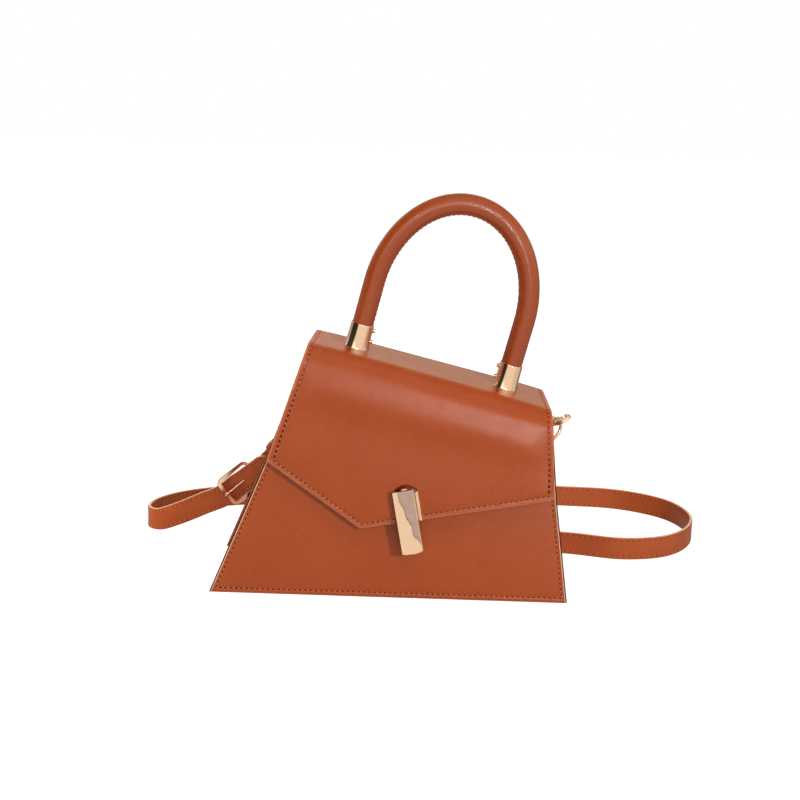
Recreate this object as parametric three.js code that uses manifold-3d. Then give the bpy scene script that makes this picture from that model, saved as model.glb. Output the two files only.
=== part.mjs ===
// Crossbody bag: trapezoid leather body, fold-over flap with a top handle, and a detachable strap.
// Millimetres. +Z up, the front faces -Y, +X is the right side, origin on the floor under the body.
import * as THREE from 'three';
import { mergeVertices } from 'three/addons/utils/BufferGeometryUtils.js';
import Module from 'manifold-3d';

const wasm = await Module();
wasm.setup();

// Driving dimensions
const BASE_WIDTH = 230;
const BASE_HALF_DEPTH = 48;
const TOP_HALF_DEPTH = 27;
const LEFT_HEIGHT = 160.1;
const SLOPE = 0.2425;
const LEFT_BEND_Z = 85;
const LEFT_BEND_X = -80.8;
const LEFT_TOP_X = -53.6;
const RIGHT_BEND_Z = 67;
const RIGHT_BEND_X = 105.6;
const RIGHT_TOP_X = 100.4;
const GAP = 0.3;

// Sheet thicknesses
const PANEL = 3;
const GUSSET = 2.2;
const SEAM_FLANGE = 4;
const LINING = 0.8;
const FLAP_SKIN = 2;
const FLAP_FACING = 1.1;
const FLAP_TOTAL = FLAP_SKIN + GAP + FLAP_FACING;
const FLAP_STANDOFF = 4.2;
const FLAP_FRONT = FLAP_TOTAL + FLAP_STANDOFF;

// Helpers for points and solids
function vec(x, y, z) {
  return new THREE.Vector3(x, y, z);
}

function lerp(a, b, t) {
  return a + (b - a) * t;
}

function geometryFrom(points, faces) {
  const geometry = new THREE.BufferGeometry();
  const flat = [];
  for (const p of points) flat.push(p.x, p.y, p.z);
  geometry.setAttribute('position', new THREE.Float32BufferAttribute(flat, 3));
  geometry.setIndex(faces.flat());
  return facingOut(geometry);
}

function facingOut(geometry) {
  const p = geometry.attributes.position;
  const index = geometry.index.array;
  let volume = 0;
  const a = vec(0, 0, 0);
  const b = vec(0, 0, 0);
  const c = vec(0, 0, 0);
  for (let i = 0; i < index.length; i += 3) {
    a.fromBufferAttribute(p, index[i]);
    b.fromBufferAttribute(p, index[i + 1]);
    c.fromBufferAttribute(p, index[i + 2]);
    volume += a.dot(b.cross(c));
  }
  if (volume < 0) {
    const turned = [];
    for (let i = 0; i < index.length; i += 3) turned.push(index[i], index[i + 2], index[i + 1]);
    geometry.setIndex(turned);
  }
  return geometry;
}

// Joins equal loops of points one after the other, with flat caps or closed into a ring
function loft(loops, closed = false) {
  const n = loops[0].length;
  const points = loops.flat();
  const faces = [];
  const spans = closed ? loops.length : loops.length - 1;
  for (let k = 0; k < spans; k++) {
    const next = (k + 1) % loops.length;
    for (let i = 0; i < n; i++) {
      const j = (i + 1) % n;
      faces.push([k * n + i, k * n + j, next * n + j]);
      faces.push([k * n + i, next * n + j, next * n + i]);
    }
  }
  if (!closed) {
    const last = (loops.length - 1) * n;
    for (let i = 1; i < n - 1; i++) {
      faces.push([0, i + 1, i]);
      faces.push([last, last + i, last + i + 1]);
    }
  }
  return geometryFrom(points, faces);
}

// A flat-sided plate: one outline, given twice, on its two faces
function plate(outline, front, back) {
  const flat = outline.map((p) => new THREE.Vector2(p[0], p[1]));
  const caps = THREE.ShapeUtils.triangulateShape(flat, []);
  const n = outline.length;
  const points = [...outline.map(front), ...outline.map(back)];
  const faces = [];
  for (const t of caps) {
    faces.push([t[0], t[1], t[2]]);
    faces.push([n + t[0], n + t[2], n + t[1]]);
  }
  for (let i = 0; i < n; i++) {
    const j = (i + 1) % n;
    faces.push([i, n + i, n + j]);
    faces.push([i, n + j, j]);
  }
  return geometryFrom(points, faces);
}

// A round bar along a line of points, with its frames carried along the line
function tube(points, radius, sides, closed = false) {
  const n = points.length;
  const tangents = points.map((p, i) => {
    const before = closed ? points[(i + n - 1) % n] : points[Math.max(i - 1, 0)];
    const after = closed ? points[(i + 1) % n] : points[Math.min(i + 1, n - 1)];
    return after.clone().sub(before).normalize();
  });
  const spare = Math.abs(tangents[0].z) < 0.9 ? vec(0, 0, 1) : vec(1, 0, 0);
  let normal = spare.clone().sub(tangents[0].clone().multiplyScalar(spare.dot(tangents[0]))).normalize();
  const loops = points.map((p, i) => {
    normal = normal.clone().sub(tangents[i].clone().multiplyScalar(normal.dot(tangents[i]))).normalize();
    const side = tangents[i].clone().cross(normal);
    const loop = [];
    for (let k = 0; k < sides; k++) {
      const angle = (2 * Math.PI * k) / sides;
      const out = normal.clone().multiplyScalar(Math.cos(angle) * radius);
      loop.push(p.clone().add(out).add(side.clone().multiplyScalar(Math.sin(angle) * radius)));
    }
    return loop;
  });
  return loft(loops, closed);
}

function rod(from, to, radius, sides = 16) {
  return tube([from, to], radius, sides);
}

function toManifold(geometry) {
  const bare = new THREE.BufferGeometry();
  bare.setAttribute('position', geometry.attributes.position);
  if (geometry.index) bare.setIndex(geometry.index);
  const merged = mergeVertices(bare, 1e-5);
  return new wasm.Manifold(new wasm.Mesh({
    numProp: 3,
    vertProperties: new Float32Array(merged.attributes.position.array),
    triVerts: new Uint32Array(merged.index.array),
  }));
}

function fromManifold(solid) {
  const mesh = solid.getMesh();
  const geometry = new THREE.BufferGeometry();
  geometry.setAttribute('position', new THREE.Float32BufferAttribute(mesh.vertProperties, 3));
  geometry.setIndex(Array.from(mesh.triVerts));
  return geometry;
}

function cut(geometry, tools) {
  let solid = toManifold(geometry);
  for (const tool of tools) solid = solid.subtract(toManifold(tool));
  return fromManifold(solid);
}

function join(parts) {
  let solid = toManifold(parts[0]);
  for (const part of parts.slice(1)) solid = solid.add(toManifold(part));
  return fromManifold(solid);
}

function lathe(profile, sides = 24) {
  const points = profile.map((p) => new THREE.Vector2(p[0], p[1]));
  const geometry = new THREE.LatheGeometry([...points, points[0]], sides);
  const bare = new THREE.BufferGeometry();
  bare.setAttribute('position', geometry.attributes.position);
  bare.setIndex(geometry.index);
  return fromManifold(toManifold(facingOut(mergeVertices(bare, 1e-5))));
}

// A local frame: three directions and an origin, as one matrix
function frameAt(origin, e1, e2, e3) {
  return new THREE.Matrix4().makeBasis(e1, e2, e3).setPosition(origin);
}

function placed(geometry, matrix) {
  return facingOut(geometry.clone().applyMatrix4(matrix));
}

// The shape of the body: side lines, panel lean and top slope
function leftX(z) {
  if (z < LEFT_BEND_Z) return lerp(-BASE_WIDTH / 2, LEFT_BEND_X, z / LEFT_BEND_Z);
  return lerp(LEFT_BEND_X, LEFT_TOP_X, (z - LEFT_BEND_Z) / (LEFT_HEIGHT - LEFT_BEND_Z));
}

function topZ(x) {
  return LEFT_HEIGHT - SLOPE * (x - LEFT_TOP_X);
}

const RIGHT_HEIGHT = topZ(RIGHT_TOP_X);

function rightX(z) {
  if (z < RIGHT_BEND_Z) return lerp(BASE_WIDTH / 2, RIGHT_BEND_X, z / RIGHT_BEND_Z);
  return lerp(RIGHT_BEND_X, RIGHT_TOP_X, (z - RIGHT_BEND_Z) / (RIGHT_HEIGHT - RIGHT_BEND_Z));
}

const LEAN = (BASE_HALF_DEPTH - TOP_HALF_DEPTH) / LEFT_HEIGHT;
const LEAN_ANGLE = Math.atan(LEAN);

function halfDepth(z) {
  return BASE_HALF_DEPTH - LEAN * z;
}

const SLOPE_ANGLE = Math.atan(SLOPE);
const ALONG_TOP = vec(Math.cos(SLOPE_ANGLE), 0, -Math.sin(SLOPE_ANGLE));
const OFF_TOP = vec(Math.sin(SLOPE_ANGLE), 0, Math.cos(SLOPE_ANGLE));
const FRONT_NORMAL = vec(0, -Math.cos(LEAN_ANGLE), Math.sin(LEAN_ANGLE));
const FRONT_UP = vec(0, Math.sin(LEAN_ANGLE), Math.cos(LEAN_ANGLE));
const BACK_NORMAL = vec(0, Math.cos(LEAN_ANGLE), Math.sin(LEAN_ANGLE));
const BACK_UP = vec(0, -Math.sin(LEAN_ANGLE), Math.cos(LEAN_ANGLE));

// Points on the outer face of the front and back panels, raised off it by a given amount
function onFront(x, z, raised) {
  return vec(x, -halfDepth(z), z).addScaledVector(FRONT_NORMAL, raised);
}

function onBack(x, z, raised) {
  return vec(x, halfDepth(z), z).addScaledVector(BACK_NORMAL, raised);
}

const group = new THREE.Group();
const LEATHER = { color: 0xa6502e, roughness: 0.42, metalness: 0 };
const LINING_CLOTH = { color: 0x8a6a4c, roughness: 0.9, metalness: 0 };
const GOLD = { color: 0xd9b383, roughness: 0.18, metalness: 1 };
const CORE = { color: 0xe4ddcf, roughness: 0.8, metalness: 0 };

function addPiece(name, geometry, look) {
  const mesh = new THREE.Mesh(geometry, new THREE.MeshStandardMaterial(look));
  mesh.name = name;
  group.add(mesh);
}

// Front and back panels: stiffened leather sheets whose edges stand out past the gussets as a seam
const FRONT_TOP_DROP = 7;
const BACK_TOP_DROP = FLAP_TOTAL + 2 * GAP;

function panelOutline(topDrop) {
  const topLeft = LEFT_HEIGHT - topDrop;
  const topRight = RIGHT_HEIGHT - topDrop;
  return [
    [-BASE_WIDTH / 2, 0],
    [BASE_WIDTH / 2, 0],
    [RIGHT_BEND_X, RIGHT_BEND_Z],
    [rightX(topRight), topRight],
    [leftX(topLeft), topLeft],
    [LEFT_BEND_X, LEFT_BEND_Z],
  ];
}

// Magnetic snap under the flap
const SNAP_X = 2;
const SNAP_Z = 97;
const SNAP_RADIUS = 8;
const SNAP_SOCKET_HEIGHT = 2;
const SNAP_STUD_PLATE = 1.2;
const SNAP_MOUTH_RADIUS = 4.4;
const SNAP_NIB_RADIUS = 2.4;
const snapAxis = (a) => onFront(SNAP_X, SNAP_Z, a);

function addSnap() {
  const seat = GAP - 0.1;
  const upright = new THREE.Matrix4().makeRotationX(Math.PI / 2);
  const frame = frameAt(snapAxis(0), vec(1, 0, 0), FRONT_UP, FRONT_NORMAL).multiply(upright);
  const top = seat + SNAP_SOCKET_HEIGHT;
  const socket = lathe([
    [SNAP_MOUTH_RADIUS, seat + 0.6], [0.9, seat + 0.6], [0.9, seat], [SNAP_RADIUS, seat],
    [SNAP_RADIUS, top - 0.5], [SNAP_RADIUS - 0.5, top], [SNAP_MOUTH_RADIUS, top],
  ]);
  addPiece('snap_socket', placed(socket, frame), GOLD);
  const ceiling = FLAP_STANDOFF - seat;
  const stud = join([
    rod(snapAxis(ceiling - SNAP_STUD_PLATE), snapAxis(ceiling), SNAP_RADIUS, 24),
    rod(snapAxis(ceiling - SNAP_STUD_PLATE - 1.2), snapAxis(ceiling - 0.5), SNAP_NIB_RADIUS, 16),
  ]);
  addPiece('snap_stud', stud, GOLD);
}
addSnap();

// Strap tabs on the back panel: a folded leather strip around the ring's bar, held by a rivet
const TAB_LENGTH = 22;
const TAB_WIDTH = 9.6;
const TAB_SHEET = 1.6;
const RING_WIRE = 1.2;
const RING_PLAY = 0.4;
const TAB_BORE = RING_WIRE + RING_PLAY;
const TAB_LOOP = TAB_BORE + TAB_SHEET;
const RIVET_SHANK = 1.2;
const RIVET_HEAD = 2.8;
const TAB_SEAT = GAP;
const TAB_THICK = 2 * TAB_SHEET;
const RING_LIFT = TAB_SEAT + TAB_LOOP;
const RIVET_BACK = 13;
const LEFT_TAB_Z = 84;
const LEFT_TAB_INSET = 16.5;
const RIGHT_TAB_Z = 91.5;
const RIGHT_TAB_INSET = -0.6;
const TABS = {
  left: { x: leftX(LEFT_TAB_Z) + LEFT_TAB_INSET, z: LEFT_TAB_Z, outward: -1 },
  right: { x: rightX(RIGHT_TAB_Z) - RIGHT_TAB_INSET, z: RIGHT_TAB_Z, outward: 1 },
};

function tabFrame(side) {
  const tab = TABS[side];
  return frameAt(onBack(tab.x, tab.z, 0), vec(tab.outward, 0, 0), BACK_UP, BACK_NORMAL);
}

function rivetHole(side, radius, from, to) {
  const line = rod(vec(-RIVET_BACK, 0, from), vec(-RIVET_BACK, 0, to), radius, 12);
  return placed(line, tabFrame(side));
}

function tabShape(side) {
  const shape = [];
  shape.push([-TAB_LENGTH, TAB_SEAT]);
  shape.push([-TAB_LOOP, TAB_SEAT]);
  const steps = 14;
  for (let k = 0; k <= steps; k++) {
    const angle = -Math.PI / 2 + (Math.PI * 1.42 * k) / steps;
    shape.push([TAB_LOOP * Math.cos(angle), RING_LIFT + TAB_LOOP * Math.sin(angle)]);
  }
  shape.push([-TAB_LOOP - 2.5, TAB_SEAT + TAB_THICK]);
  shape.push([-TAB_LENGTH, TAB_SEAT + TAB_THICK]);
  const half = TAB_WIDTH / 2;
  const block = plate(shape, (p) => vec(p[0], -half, p[1]), (p) => vec(p[0], half, p[1]));
  const bore = rod(vec(0, -TAB_WIDTH, RING_LIFT), vec(0, TAB_WIDTH, RING_LIFT), TAB_BORE, 16);
  const hole = rivetHole(side, RIVET_SHANK + GAP, -1, TAB_THICK + 2);
  return cut(placed(block, tabFrame(side)), [placed(bore, tabFrame(side)), hole]);
}

function addTab(side) {
  addPiece(`tab_${side}`, tabShape(side), LEATHER);
  const seat = TAB_SEAT + TAB_THICK;
  const rivet = join([
    rivetHole(side, RIVET_SHANK, -PANEL + 0.2, seat + 0.6),
    rivetHole(side, RIVET_HEAD, seat + 0.2, seat + 1),
  ]);
  addPiece(`tab_rivet_${side}`, rivet, GOLD);
}
addTab('left');
addTab('right');

// The two panels, the back one drilled for the tab rivets
function addPanels() {
  const front = plate(
    panelOutline(FRONT_TOP_DROP),
    (p) => vec(p[0], -halfDepth(p[1]), p[1]),
    (p) => vec(p[0], -halfDepth(p[1]) + PANEL, p[1]),
  );
  addPiece('front_panel', front, LEATHER);
  const back = plate(
    panelOutline(BACK_TOP_DROP),
    (p) => vec(p[0], halfDepth(p[1]), p[1]),
    (p) => vec(p[0], halfDepth(p[1]) - PANEL, p[1]),
  );
  const holes = ['left', 'right'].map((side) => {
    return rivetHole(side, RIVET_SHANK + GAP, -2 * PANEL, 2);
  });
  addPiece('back_panel', cut(back, holes), LEATHER);
}
addPanels();

// Gussets: the narrow side walls between the two panels
function addGussets() {
  const sides = {
    left: { xAt: leftX, inward: 1, bend: LEFT_BEND_Z, top: LEFT_HEIGHT - FRONT_TOP_DROP - 1.5 },
    right: { xAt: rightX, inward: -1, bend: RIGHT_BEND_Z, top: RIGHT_HEIGHT - FRONT_TOP_DROP - 1.5 },
  };
  for (const [name, side] of Object.entries(sides)) {
    const loops = [0, side.bend, side.top].map((z) => {
      const outer = side.xAt(z) + side.inward * SEAM_FLANGE;
      const inner = outer + side.inward * GUSSET;
      const y = halfDepth(z) - PANEL - GAP;
      return [vec(outer, -y, z), vec(inner, -y, z), vec(inner, y, z), vec(outer, y, z)];
    });
    addPiece(`gusset_${name}`, loft(loops), LEATHER);
  }
}
addGussets();

// A box that follows the inside of the body, with its top cut along the slope
function insideBlock(inset, bottom, topDrop) {
  const edge = SEAM_FLANGE + GUSSET + inset;
  const levels = [
    [bottom, bottom],
    [LEFT_BEND_Z, RIGHT_BEND_Z],
    [LEFT_HEIGHT - topDrop, RIGHT_HEIGHT - topDrop],
  ];
  const loops = levels.map(([zl, zr]) => {
    const yl = halfDepth(zl) - PANEL - inset;
    const yr = halfDepth(zr) - PANEL - inset;
    const xl = leftX(zl) + edge;
    const xr = rightX(zr) - edge;
    return [vec(xl, -yl, zl), vec(xr, -yr, zr), vec(xr, yr, zr), vec(xl, yl, zl)];
  });
  return loft(loops);
}

// Base: the stiff floor of the bag, and the lining bag that hangs inside
const BASE_THICK = 3;
const LINING_TOP_DROP = 11;
const MOUTH_CLEAR = 6;
const POCKET_THICK = 1.4;
const POCKET_LEFT = -0.196 * BASE_WIDTH;
const POCKET_RIGHT = 0.296 * BASE_WIDTH;
const POCKET_FOOT = 0.175 * LEFT_HEIGHT;
const POCKET_TOP = 0.575 * LEFT_HEIGHT;

function addBaseAndLining() {
  const loops = [0, BASE_THICK].map((z) => {
    const y = halfDepth(z) - PANEL - GAP;
    const xl = leftX(z) + SEAM_FLANGE + GUSSET + GAP;
    const xr = rightX(z) - SEAM_FLANGE - GUSSET - GAP;
    return [vec(xl, -y, z), vec(xr, -y, z), vec(xr, y, z), vec(xl, y, z)];
  });
  addPiece('base_panel', loft(loops), LEATHER);
  const floor = BASE_THICK + GAP;
  const outer = insideBlock(GAP, floor, LINING_TOP_DROP);
  const inner = insideBlock(GAP + LINING, floor + LINING, LINING_TOP_DROP - MOUTH_CLEAR);
  addPiece('lining', cut(outer, [inner]), LINING_CLOTH);
  const pocketFace = PANEL + GAP + LINING + GAP;
  const pocketOutline = [
    [POCKET_LEFT, POCKET_FOOT], [POCKET_RIGHT, POCKET_FOOT],
    [POCKET_RIGHT, POCKET_TOP], [POCKET_LEFT, POCKET_TOP],
  ];
  const pocket = plate(
    pocketOutline,
    (p) => vec(p[0], halfDepth(p[1]) - pocketFace, p[1]),
    (p) => vec(p[0], halfDepth(p[1]) - pocketFace - POCKET_THICK, p[1]),
  );
  addPiece('inner_pocket', pocket, LINING_CLOTH);
}
addBaseAndLining();

// Flap: one sheet from the back edge, over the top, round the front roll and down to a slanted edge
const ROLL_RADIUS = 14;
const TOP_TAPER = 2;
const FLAP_LEFT = [-79.6, 86.8];
const FLAP_VERTEX = [-19.1, 45.9];
const FLAP_RIGHT = [103.3, 67.7];
const VERTEX_SHARE = (FLAP_VERTEX[0] - FLAP_LEFT[0]) / (FLAP_RIGHT[0] - FLAP_LEFT[0]);
const TOP_STEPS = 3;
const ROLL_STEPS = 8;

function flapEdge(s) {
  if (s < VERTEX_SHARE) {
    const t = s / VERTEX_SHARE;
    return [lerp(FLAP_LEFT[0], FLAP_VERTEX[0], t), lerp(FLAP_LEFT[1], FLAP_VERTEX[1], t)];
  }
  const t = (s - VERTEX_SHARE) / (1 - VERTEX_SHARE);
  return [lerp(FLAP_VERTEX[0], FLAP_RIGHT[0], t), lerp(FLAP_VERTEX[1], FLAP_RIGHT[1], t)];
}

// One line of the flap from back to lower edge, sunk below the outer face, stopping short of the edges
function flapLine(s, sunk, shortBy) {
  const backX = lerp(LEFT_TOP_X, RIGHT_TOP_X, s);
  const x = backX - TOP_TAPER * (1 - s);
  const z = topZ(x);
  const [edgeX, edgeZ] = flapEdge(s);
  const back = halfDepth(topZ(backX)) - shortBy;
  const centreZ = z - ROLL_RADIUS;
  const frontAt = (level) => -halfDepth(level) - FLAP_FRONT;
  const centreY = frontAt(centreZ) + ROLL_RADIUS / Math.cos(LEAN_ANGLE);
  const radius = ROLL_RADIUS - sunk;
  const line = [];
  for (let k = 0; k < TOP_STEPS; k++) {
    const share = k / TOP_STEPS;
    const across = lerp(backX, x, share);
    line.push(vec(across, lerp(back, centreY, share), topZ(across) - sunk));
  }
  const draped = (y, level) => vec(lerp(x, edgeX, (z - level) / (z - edgeZ)), y, level);
  const turn = Math.PI / 2 - LEAN_ANGLE;
  for (let k = 0; k <= ROLL_STEPS; k++) {
    const angle = (turn * k) / ROLL_STEPS;
    line.push(draped(centreY - radius * Math.sin(angle), centreZ + radius * Math.cos(angle)));
  }
  const end = edgeZ + shortBy;
  line.push(draped(frontAt(end) + sunk * Math.cos(LEAN_ANGLE), end - sunk * Math.sin(LEAN_ANGLE)));
  return line;
}

function flapSheet(from, to, shortBy) {
  const rowsAt = [0, 0.11, 0.22, VERTEX_SHARE, 0.5, 0.67, 0.84, 1];
  const margin = shortBy / (RIGHT_TOP_X - LEFT_TOP_X);
  const loops = rowsAt.map((s) => {
    const inset = lerp(margin, 1 - margin, s);
    const share = Math.abs(s - VERTEX_SHARE) < 1e-6 ? s : inset;
    return [...flapLine(share, from, shortBy), ...flapLine(share, to, shortBy).reverse()];
  });
  return loftStrip(loops);
}

// As loft, with the end caps filled as bent strips
function loftStrip(loops) {
  const n = loops[0].length;
  const points = loops.flat();
  const faces = [];
  for (let k = 0; k < loops.length - 1; k++) {
    for (let i = 0; i < n; i++) {
      const j = (i + 1) % n;
      faces.push([k * n + i, k * n + j, (k + 1) * n + j]);
      faces.push([k * n + i, (k + 1) * n + j, (k + 1) * n + i]);
    }
  }
  const last = (loops.length - 1) * n;
  for (let i = 0; i < n / 2 - 1; i++) {
    const far = n - 1 - i;
    faces.push([i, far, far - 1], [i, far - 1, i + 1]);
    faces.push([last + i, last + far - 1, last + far], [last + i, last + i + 1, last + far - 1]);
  }
  return geometryFrom(points, faces);
}

// Handle: a leather sleeve round a core, bent to an arch that stands square on the sloped top
const HANDLE_CENTRE_X = 22.8;
const HANDLE_HALF_SPAN = 50.1;
const HANDLE_LEG = 45;
const HANDLE_RISE = 63.6;
const SLEEVE_RADIUS = 6.9;
const SLEEVE_BORE = 4.7;
const CORE_RADIUS = 4.4;
const FERRULE_HEIGHT = 16.5;
const FERRULE_FLOOR = 4;
const FERRULE_BOTTOM_RADIUS = 7.9;
const FERRULE_TOP_RADIUS = 7.6;
const FERRULE_BORE = SLEEVE_RADIUS + 0.2;
const BOLT_RADIUS = 2;
const BOLT_HEAD = 4;
const HANDLE_CENTRE = vec(HANDLE_CENTRE_X, 0, topZ(HANDLE_CENTRE_X));

function onTop(u, v) {
  return HANDLE_CENTRE.clone().addScaledVector(ALONG_TOP, u).addScaledVector(OFF_TOP, v);
}

function handleLine(start) {
  const line = [onTop(-HANDLE_HALF_SPAN, start)];
  line.push(onTop(-HANDLE_HALF_SPAN, HANDLE_LEG * 0.6));
  const steps = 20;
  for (let k = 0; k <= steps; k++) {
    const angle = Math.PI - (Math.PI * k) / steps;
    line.push(onTop(HANDLE_HALF_SPAN * Math.cos(angle), HANDLE_LEG + HANDLE_RISE * Math.sin(angle)));
  }
  line.push(onTop(HANDLE_HALF_SPAN, HANDLE_LEG * 0.6));
  line.push(onTop(HANDLE_HALF_SPAN, start));
  return line;
}

function addHandle() {
  const start = GAP + FERRULE_FLOOR + GAP;
  const sleeve = tube(handleLine(start), SLEEVE_RADIUS, 16);
  const bore = tube(handleLine(start - 3), SLEEVE_BORE, 12);
  addPiece('handle_sleeve', cut(sleeve, [bore]), LEATHER);
  addPiece('handle_core', tube(handleLine(start), CORE_RADIUS, 10), CORE);
}
addHandle();

// Ferrules: gold cups at the handle's ends, each with two clamp screws on its inner side
const SCREW_RADIUS = 1.4;
const SCREW_OUT = 1.6;
const SCREW_HEIGHTS = { lower: 0.36, upper: 0.8 };

function screwLine(sideSign, height, from, to, radius) {
  const u = sideSign * HANDLE_HALF_SPAN;
  const inward = -sideSign;
  return rod(onTop(u + inward * from, height), onTop(u + inward * to, height), radius, 12);
}

function addFerrules() {
  const profile = [
    [BOLT_RADIUS + GAP, 0], [FERRULE_BOTTOM_RADIUS, 0], [FERRULE_BOTTOM_RADIUS, 1.6],
    [FERRULE_TOP_RADIUS, 3], [FERRULE_TOP_RADIUS, FERRULE_HEIGHT],
    [FERRULE_BORE, FERRULE_HEIGHT], [FERRULE_BORE, FERRULE_FLOOR], [BOLT_RADIUS + GAP, FERRULE_FLOOR],
  ];
  for (const [name, sign] of [['left', -1], ['right', 1]]) {
    const upright = new THREE.Matrix4().makeRotationX(Math.PI / 2);
    const frame = frameAt(onTop(sign * HANDLE_HALF_SPAN, GAP), ALONG_TOP, vec(0, 1, 0), OFF_TOP);
    const cup = placed(lathe(profile, 28), frame.multiply(upright));
    const heights = Object.entries(SCREW_HEIGHTS).map(([key, share]) => {
      return [key, GAP + share * FERRULE_HEIGHT];
    });
    const holes = heights.map(([, height]) => {
      return screwLine(sign, height, FERRULE_BORE - 1, FERRULE_TOP_RADIUS + 2, SCREW_RADIUS + GAP);
    });
    addPiece(`ferrule_${name}`, cut(cup, holes), GOLD);
    for (const [key, height] of heights) {
      const tip = FERRULE_TOP_RADIUS + SCREW_OUT;
      const screw = screwLine(sign, height, FERRULE_BORE + 0.05, tip, SCREW_RADIUS);
      addPiece(`ferrule_screw_${name}_${key}`, screw, GOLD);
    }
  }
}
addFerrules();

// Handle bolts come up from inside the top through a washer, the flap and the ferrule floor
const WASHER_THICK = 1;
const WASHER_RADIUS = 6;
const HEAD_HEIGHT = 2;

function addBolts() {
  const under = -FLAP_TOTAL * Math.cos(SLOPE_ANGLE);
  for (const [name, sign] of [['left', -1], ['right', 1]]) {
    const u = sign * HANDLE_HALF_SPAN;
    const washerTop = under - GAP;
    const disc = rod(onTop(u, washerTop - WASHER_THICK), onTop(u, washerTop), WASHER_RADIUS, 24);
    const hole = rod(onTop(u, washerTop - 3), onTop(u, washerTop + 1), BOLT_RADIUS + GAP, 16);
    addPiece(`handle_washer_${name}`, cut(disc, [hole]), GOLD);
    const headTop = washerTop - WASHER_THICK - GAP;
    const bolt = join([
      rod(onTop(u, headTop - HEAD_HEIGHT), onTop(u, headTop), BOLT_HEAD, 16),
      rod(onTop(u, headTop - 1), onTop(u, GAP + FERRULE_FLOOR), BOLT_RADIUS, 16),
    ]);
    addPiece(`handle_bolt_${name}`, bolt, GOLD);
  }
}
addBolts();

// Hasp on the flap's front: a bevelled block and a long plate, bolted through the flap to a backing plate
const HASP_X = 10.6;
const HASP_Z = 51.7;
const HASP_TILT = 11.3 * Math.PI / 180;
const PLATE_HALF_WIDTH = 6.9;
const PLATE_TOP = 20;
const PLATE_BOTTOM = -20;
const PLATE_SAG = 1.3;
const BLOCK_HALF_WIDTH = 8.2;
const BLOCK_SHIFT = 1.3;
const BLOCK_TOP = 21.2;
const BLOCK_CROWN = 2.6;
const BLOCK_BOTTOM = -1.5;
const BLOCK_HEIGHT = 3.4;
const PLATE_THICK = 2.2;
const STUD_RADIUS = 1.4;
const STUD_PLACES = { upper: 16, lower: 5 };
const haspRight = vec(1, 0, 0).applyAxisAngle(FRONT_NORMAL, HASP_TILT);
const haspUp = FRONT_UP.clone().applyAxisAngle(FRONT_NORMAL, HASP_TILT);
const HASP_FRAME = frameAt(onFront(HASP_X, HASP_Z, FLAP_FRONT), haspRight, haspUp, FRONT_NORMAL);

function haspOutline(halfWidth, bottom, top, sag, crown, shift = 0) {
  const outline = [];
  const steps = 6;
  for (let k = 0; k <= steps; k++) {
    const t = -1 + (2 * k) / steps;
    outline.push([shift + t * halfWidth, bottom - sag * (1 - t * t)]);
  }
  for (let k = 0; k <= steps; k++) {
    const t = 1 - (2 * k) / steps;
    outline.push([shift + t * halfWidth, top + crown * (1 - t * t)]);
  }
  return outline;
}

function haspSlab(outline, from, to) {
  const slab = plate(outline, (p) => vec(p[0], p[1], from), (p) => vec(p[0], p[1], to));
  return placed(slab, HASP_FRAME);
}

function haspRod(place, from, to, radius) {
  return placed(rod(vec(0, place, from), vec(0, place, to), radius, 12), HASP_FRAME);
}

const HASP_BACKING = 0.9;
const NUT_HEIGHT = 1.6;
const INSIDE_FACE = -FLAP_TOTAL;

function addHasp() {
  const places = Object.entries(STUD_PLACES);
  const drill = places.map(([, place]) => haspRod(place, -9, BLOCK_HEIGHT + 1, STUD_RADIUS + GAP));
  const blockTop = GAP + BLOCK_HEIGHT;
  const bevel = 1.2;
  const wide = haspOutline(BLOCK_HALF_WIDTH, BLOCK_BOTTOM, BLOCK_TOP, 0, BLOCK_CROWN, BLOCK_SHIFT);
  const slim = BLOCK_HALF_WIDTH - bevel;
  const narrow = haspOutline(slim, BLOCK_BOTTOM + bevel, BLOCK_TOP - bevel, 0, BLOCK_CROWN, BLOCK_SHIFT);
  const loops = [[wide, GAP], [wide, GAP + 1.6], [narrow, blockTop]].map(([outline, height]) => {
    return outline.map((p) => vec(p[0], p[1], height));
  });
  const block = placed(loft(loops), HASP_FRAME);
  addPiece('hasp_block', cut(block, drill), GOLD);
  const plateFloor = blockTop + GAP;
  const bar = haspOutline(PLATE_HALF_WIDTH, PLATE_BOTTOM, PLATE_TOP, PLATE_SAG, 0);
  const studEnd = INSIDE_FACE - GAP - HASP_BACKING - GAP - NUT_HEIGHT;
  const studs = places.map(([, place]) => haspRod(place, studEnd, plateFloor + 0.6, STUD_RADIUS));
  addPiece('hasp_plate', join([haspSlab(bar, plateFloor, plateFloor + PLATE_THICK), ...studs]), GOLD);
  const backing = haspOutline(6, 0, 21, 0, 0);
  const backTop = INSIDE_FACE - GAP;
  addPiece('hasp_backing', cut(haspSlab(backing, backTop - HASP_BACKING, backTop), drill), GOLD);
  const nutTop = backTop - HASP_BACKING - GAP;
  for (const [name, place] of places) {
    const nut = haspRod(place, nutTop - NUT_HEIGHT, nutTop, 2.9);
    addPiece(`hasp_nut_${name}`, cut(nut, [haspRod(place, -9, 3, STUD_RADIUS + 0.05)]), GOLD);
  }
  return drill;
}
const haspHoles = addHasp();

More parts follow.
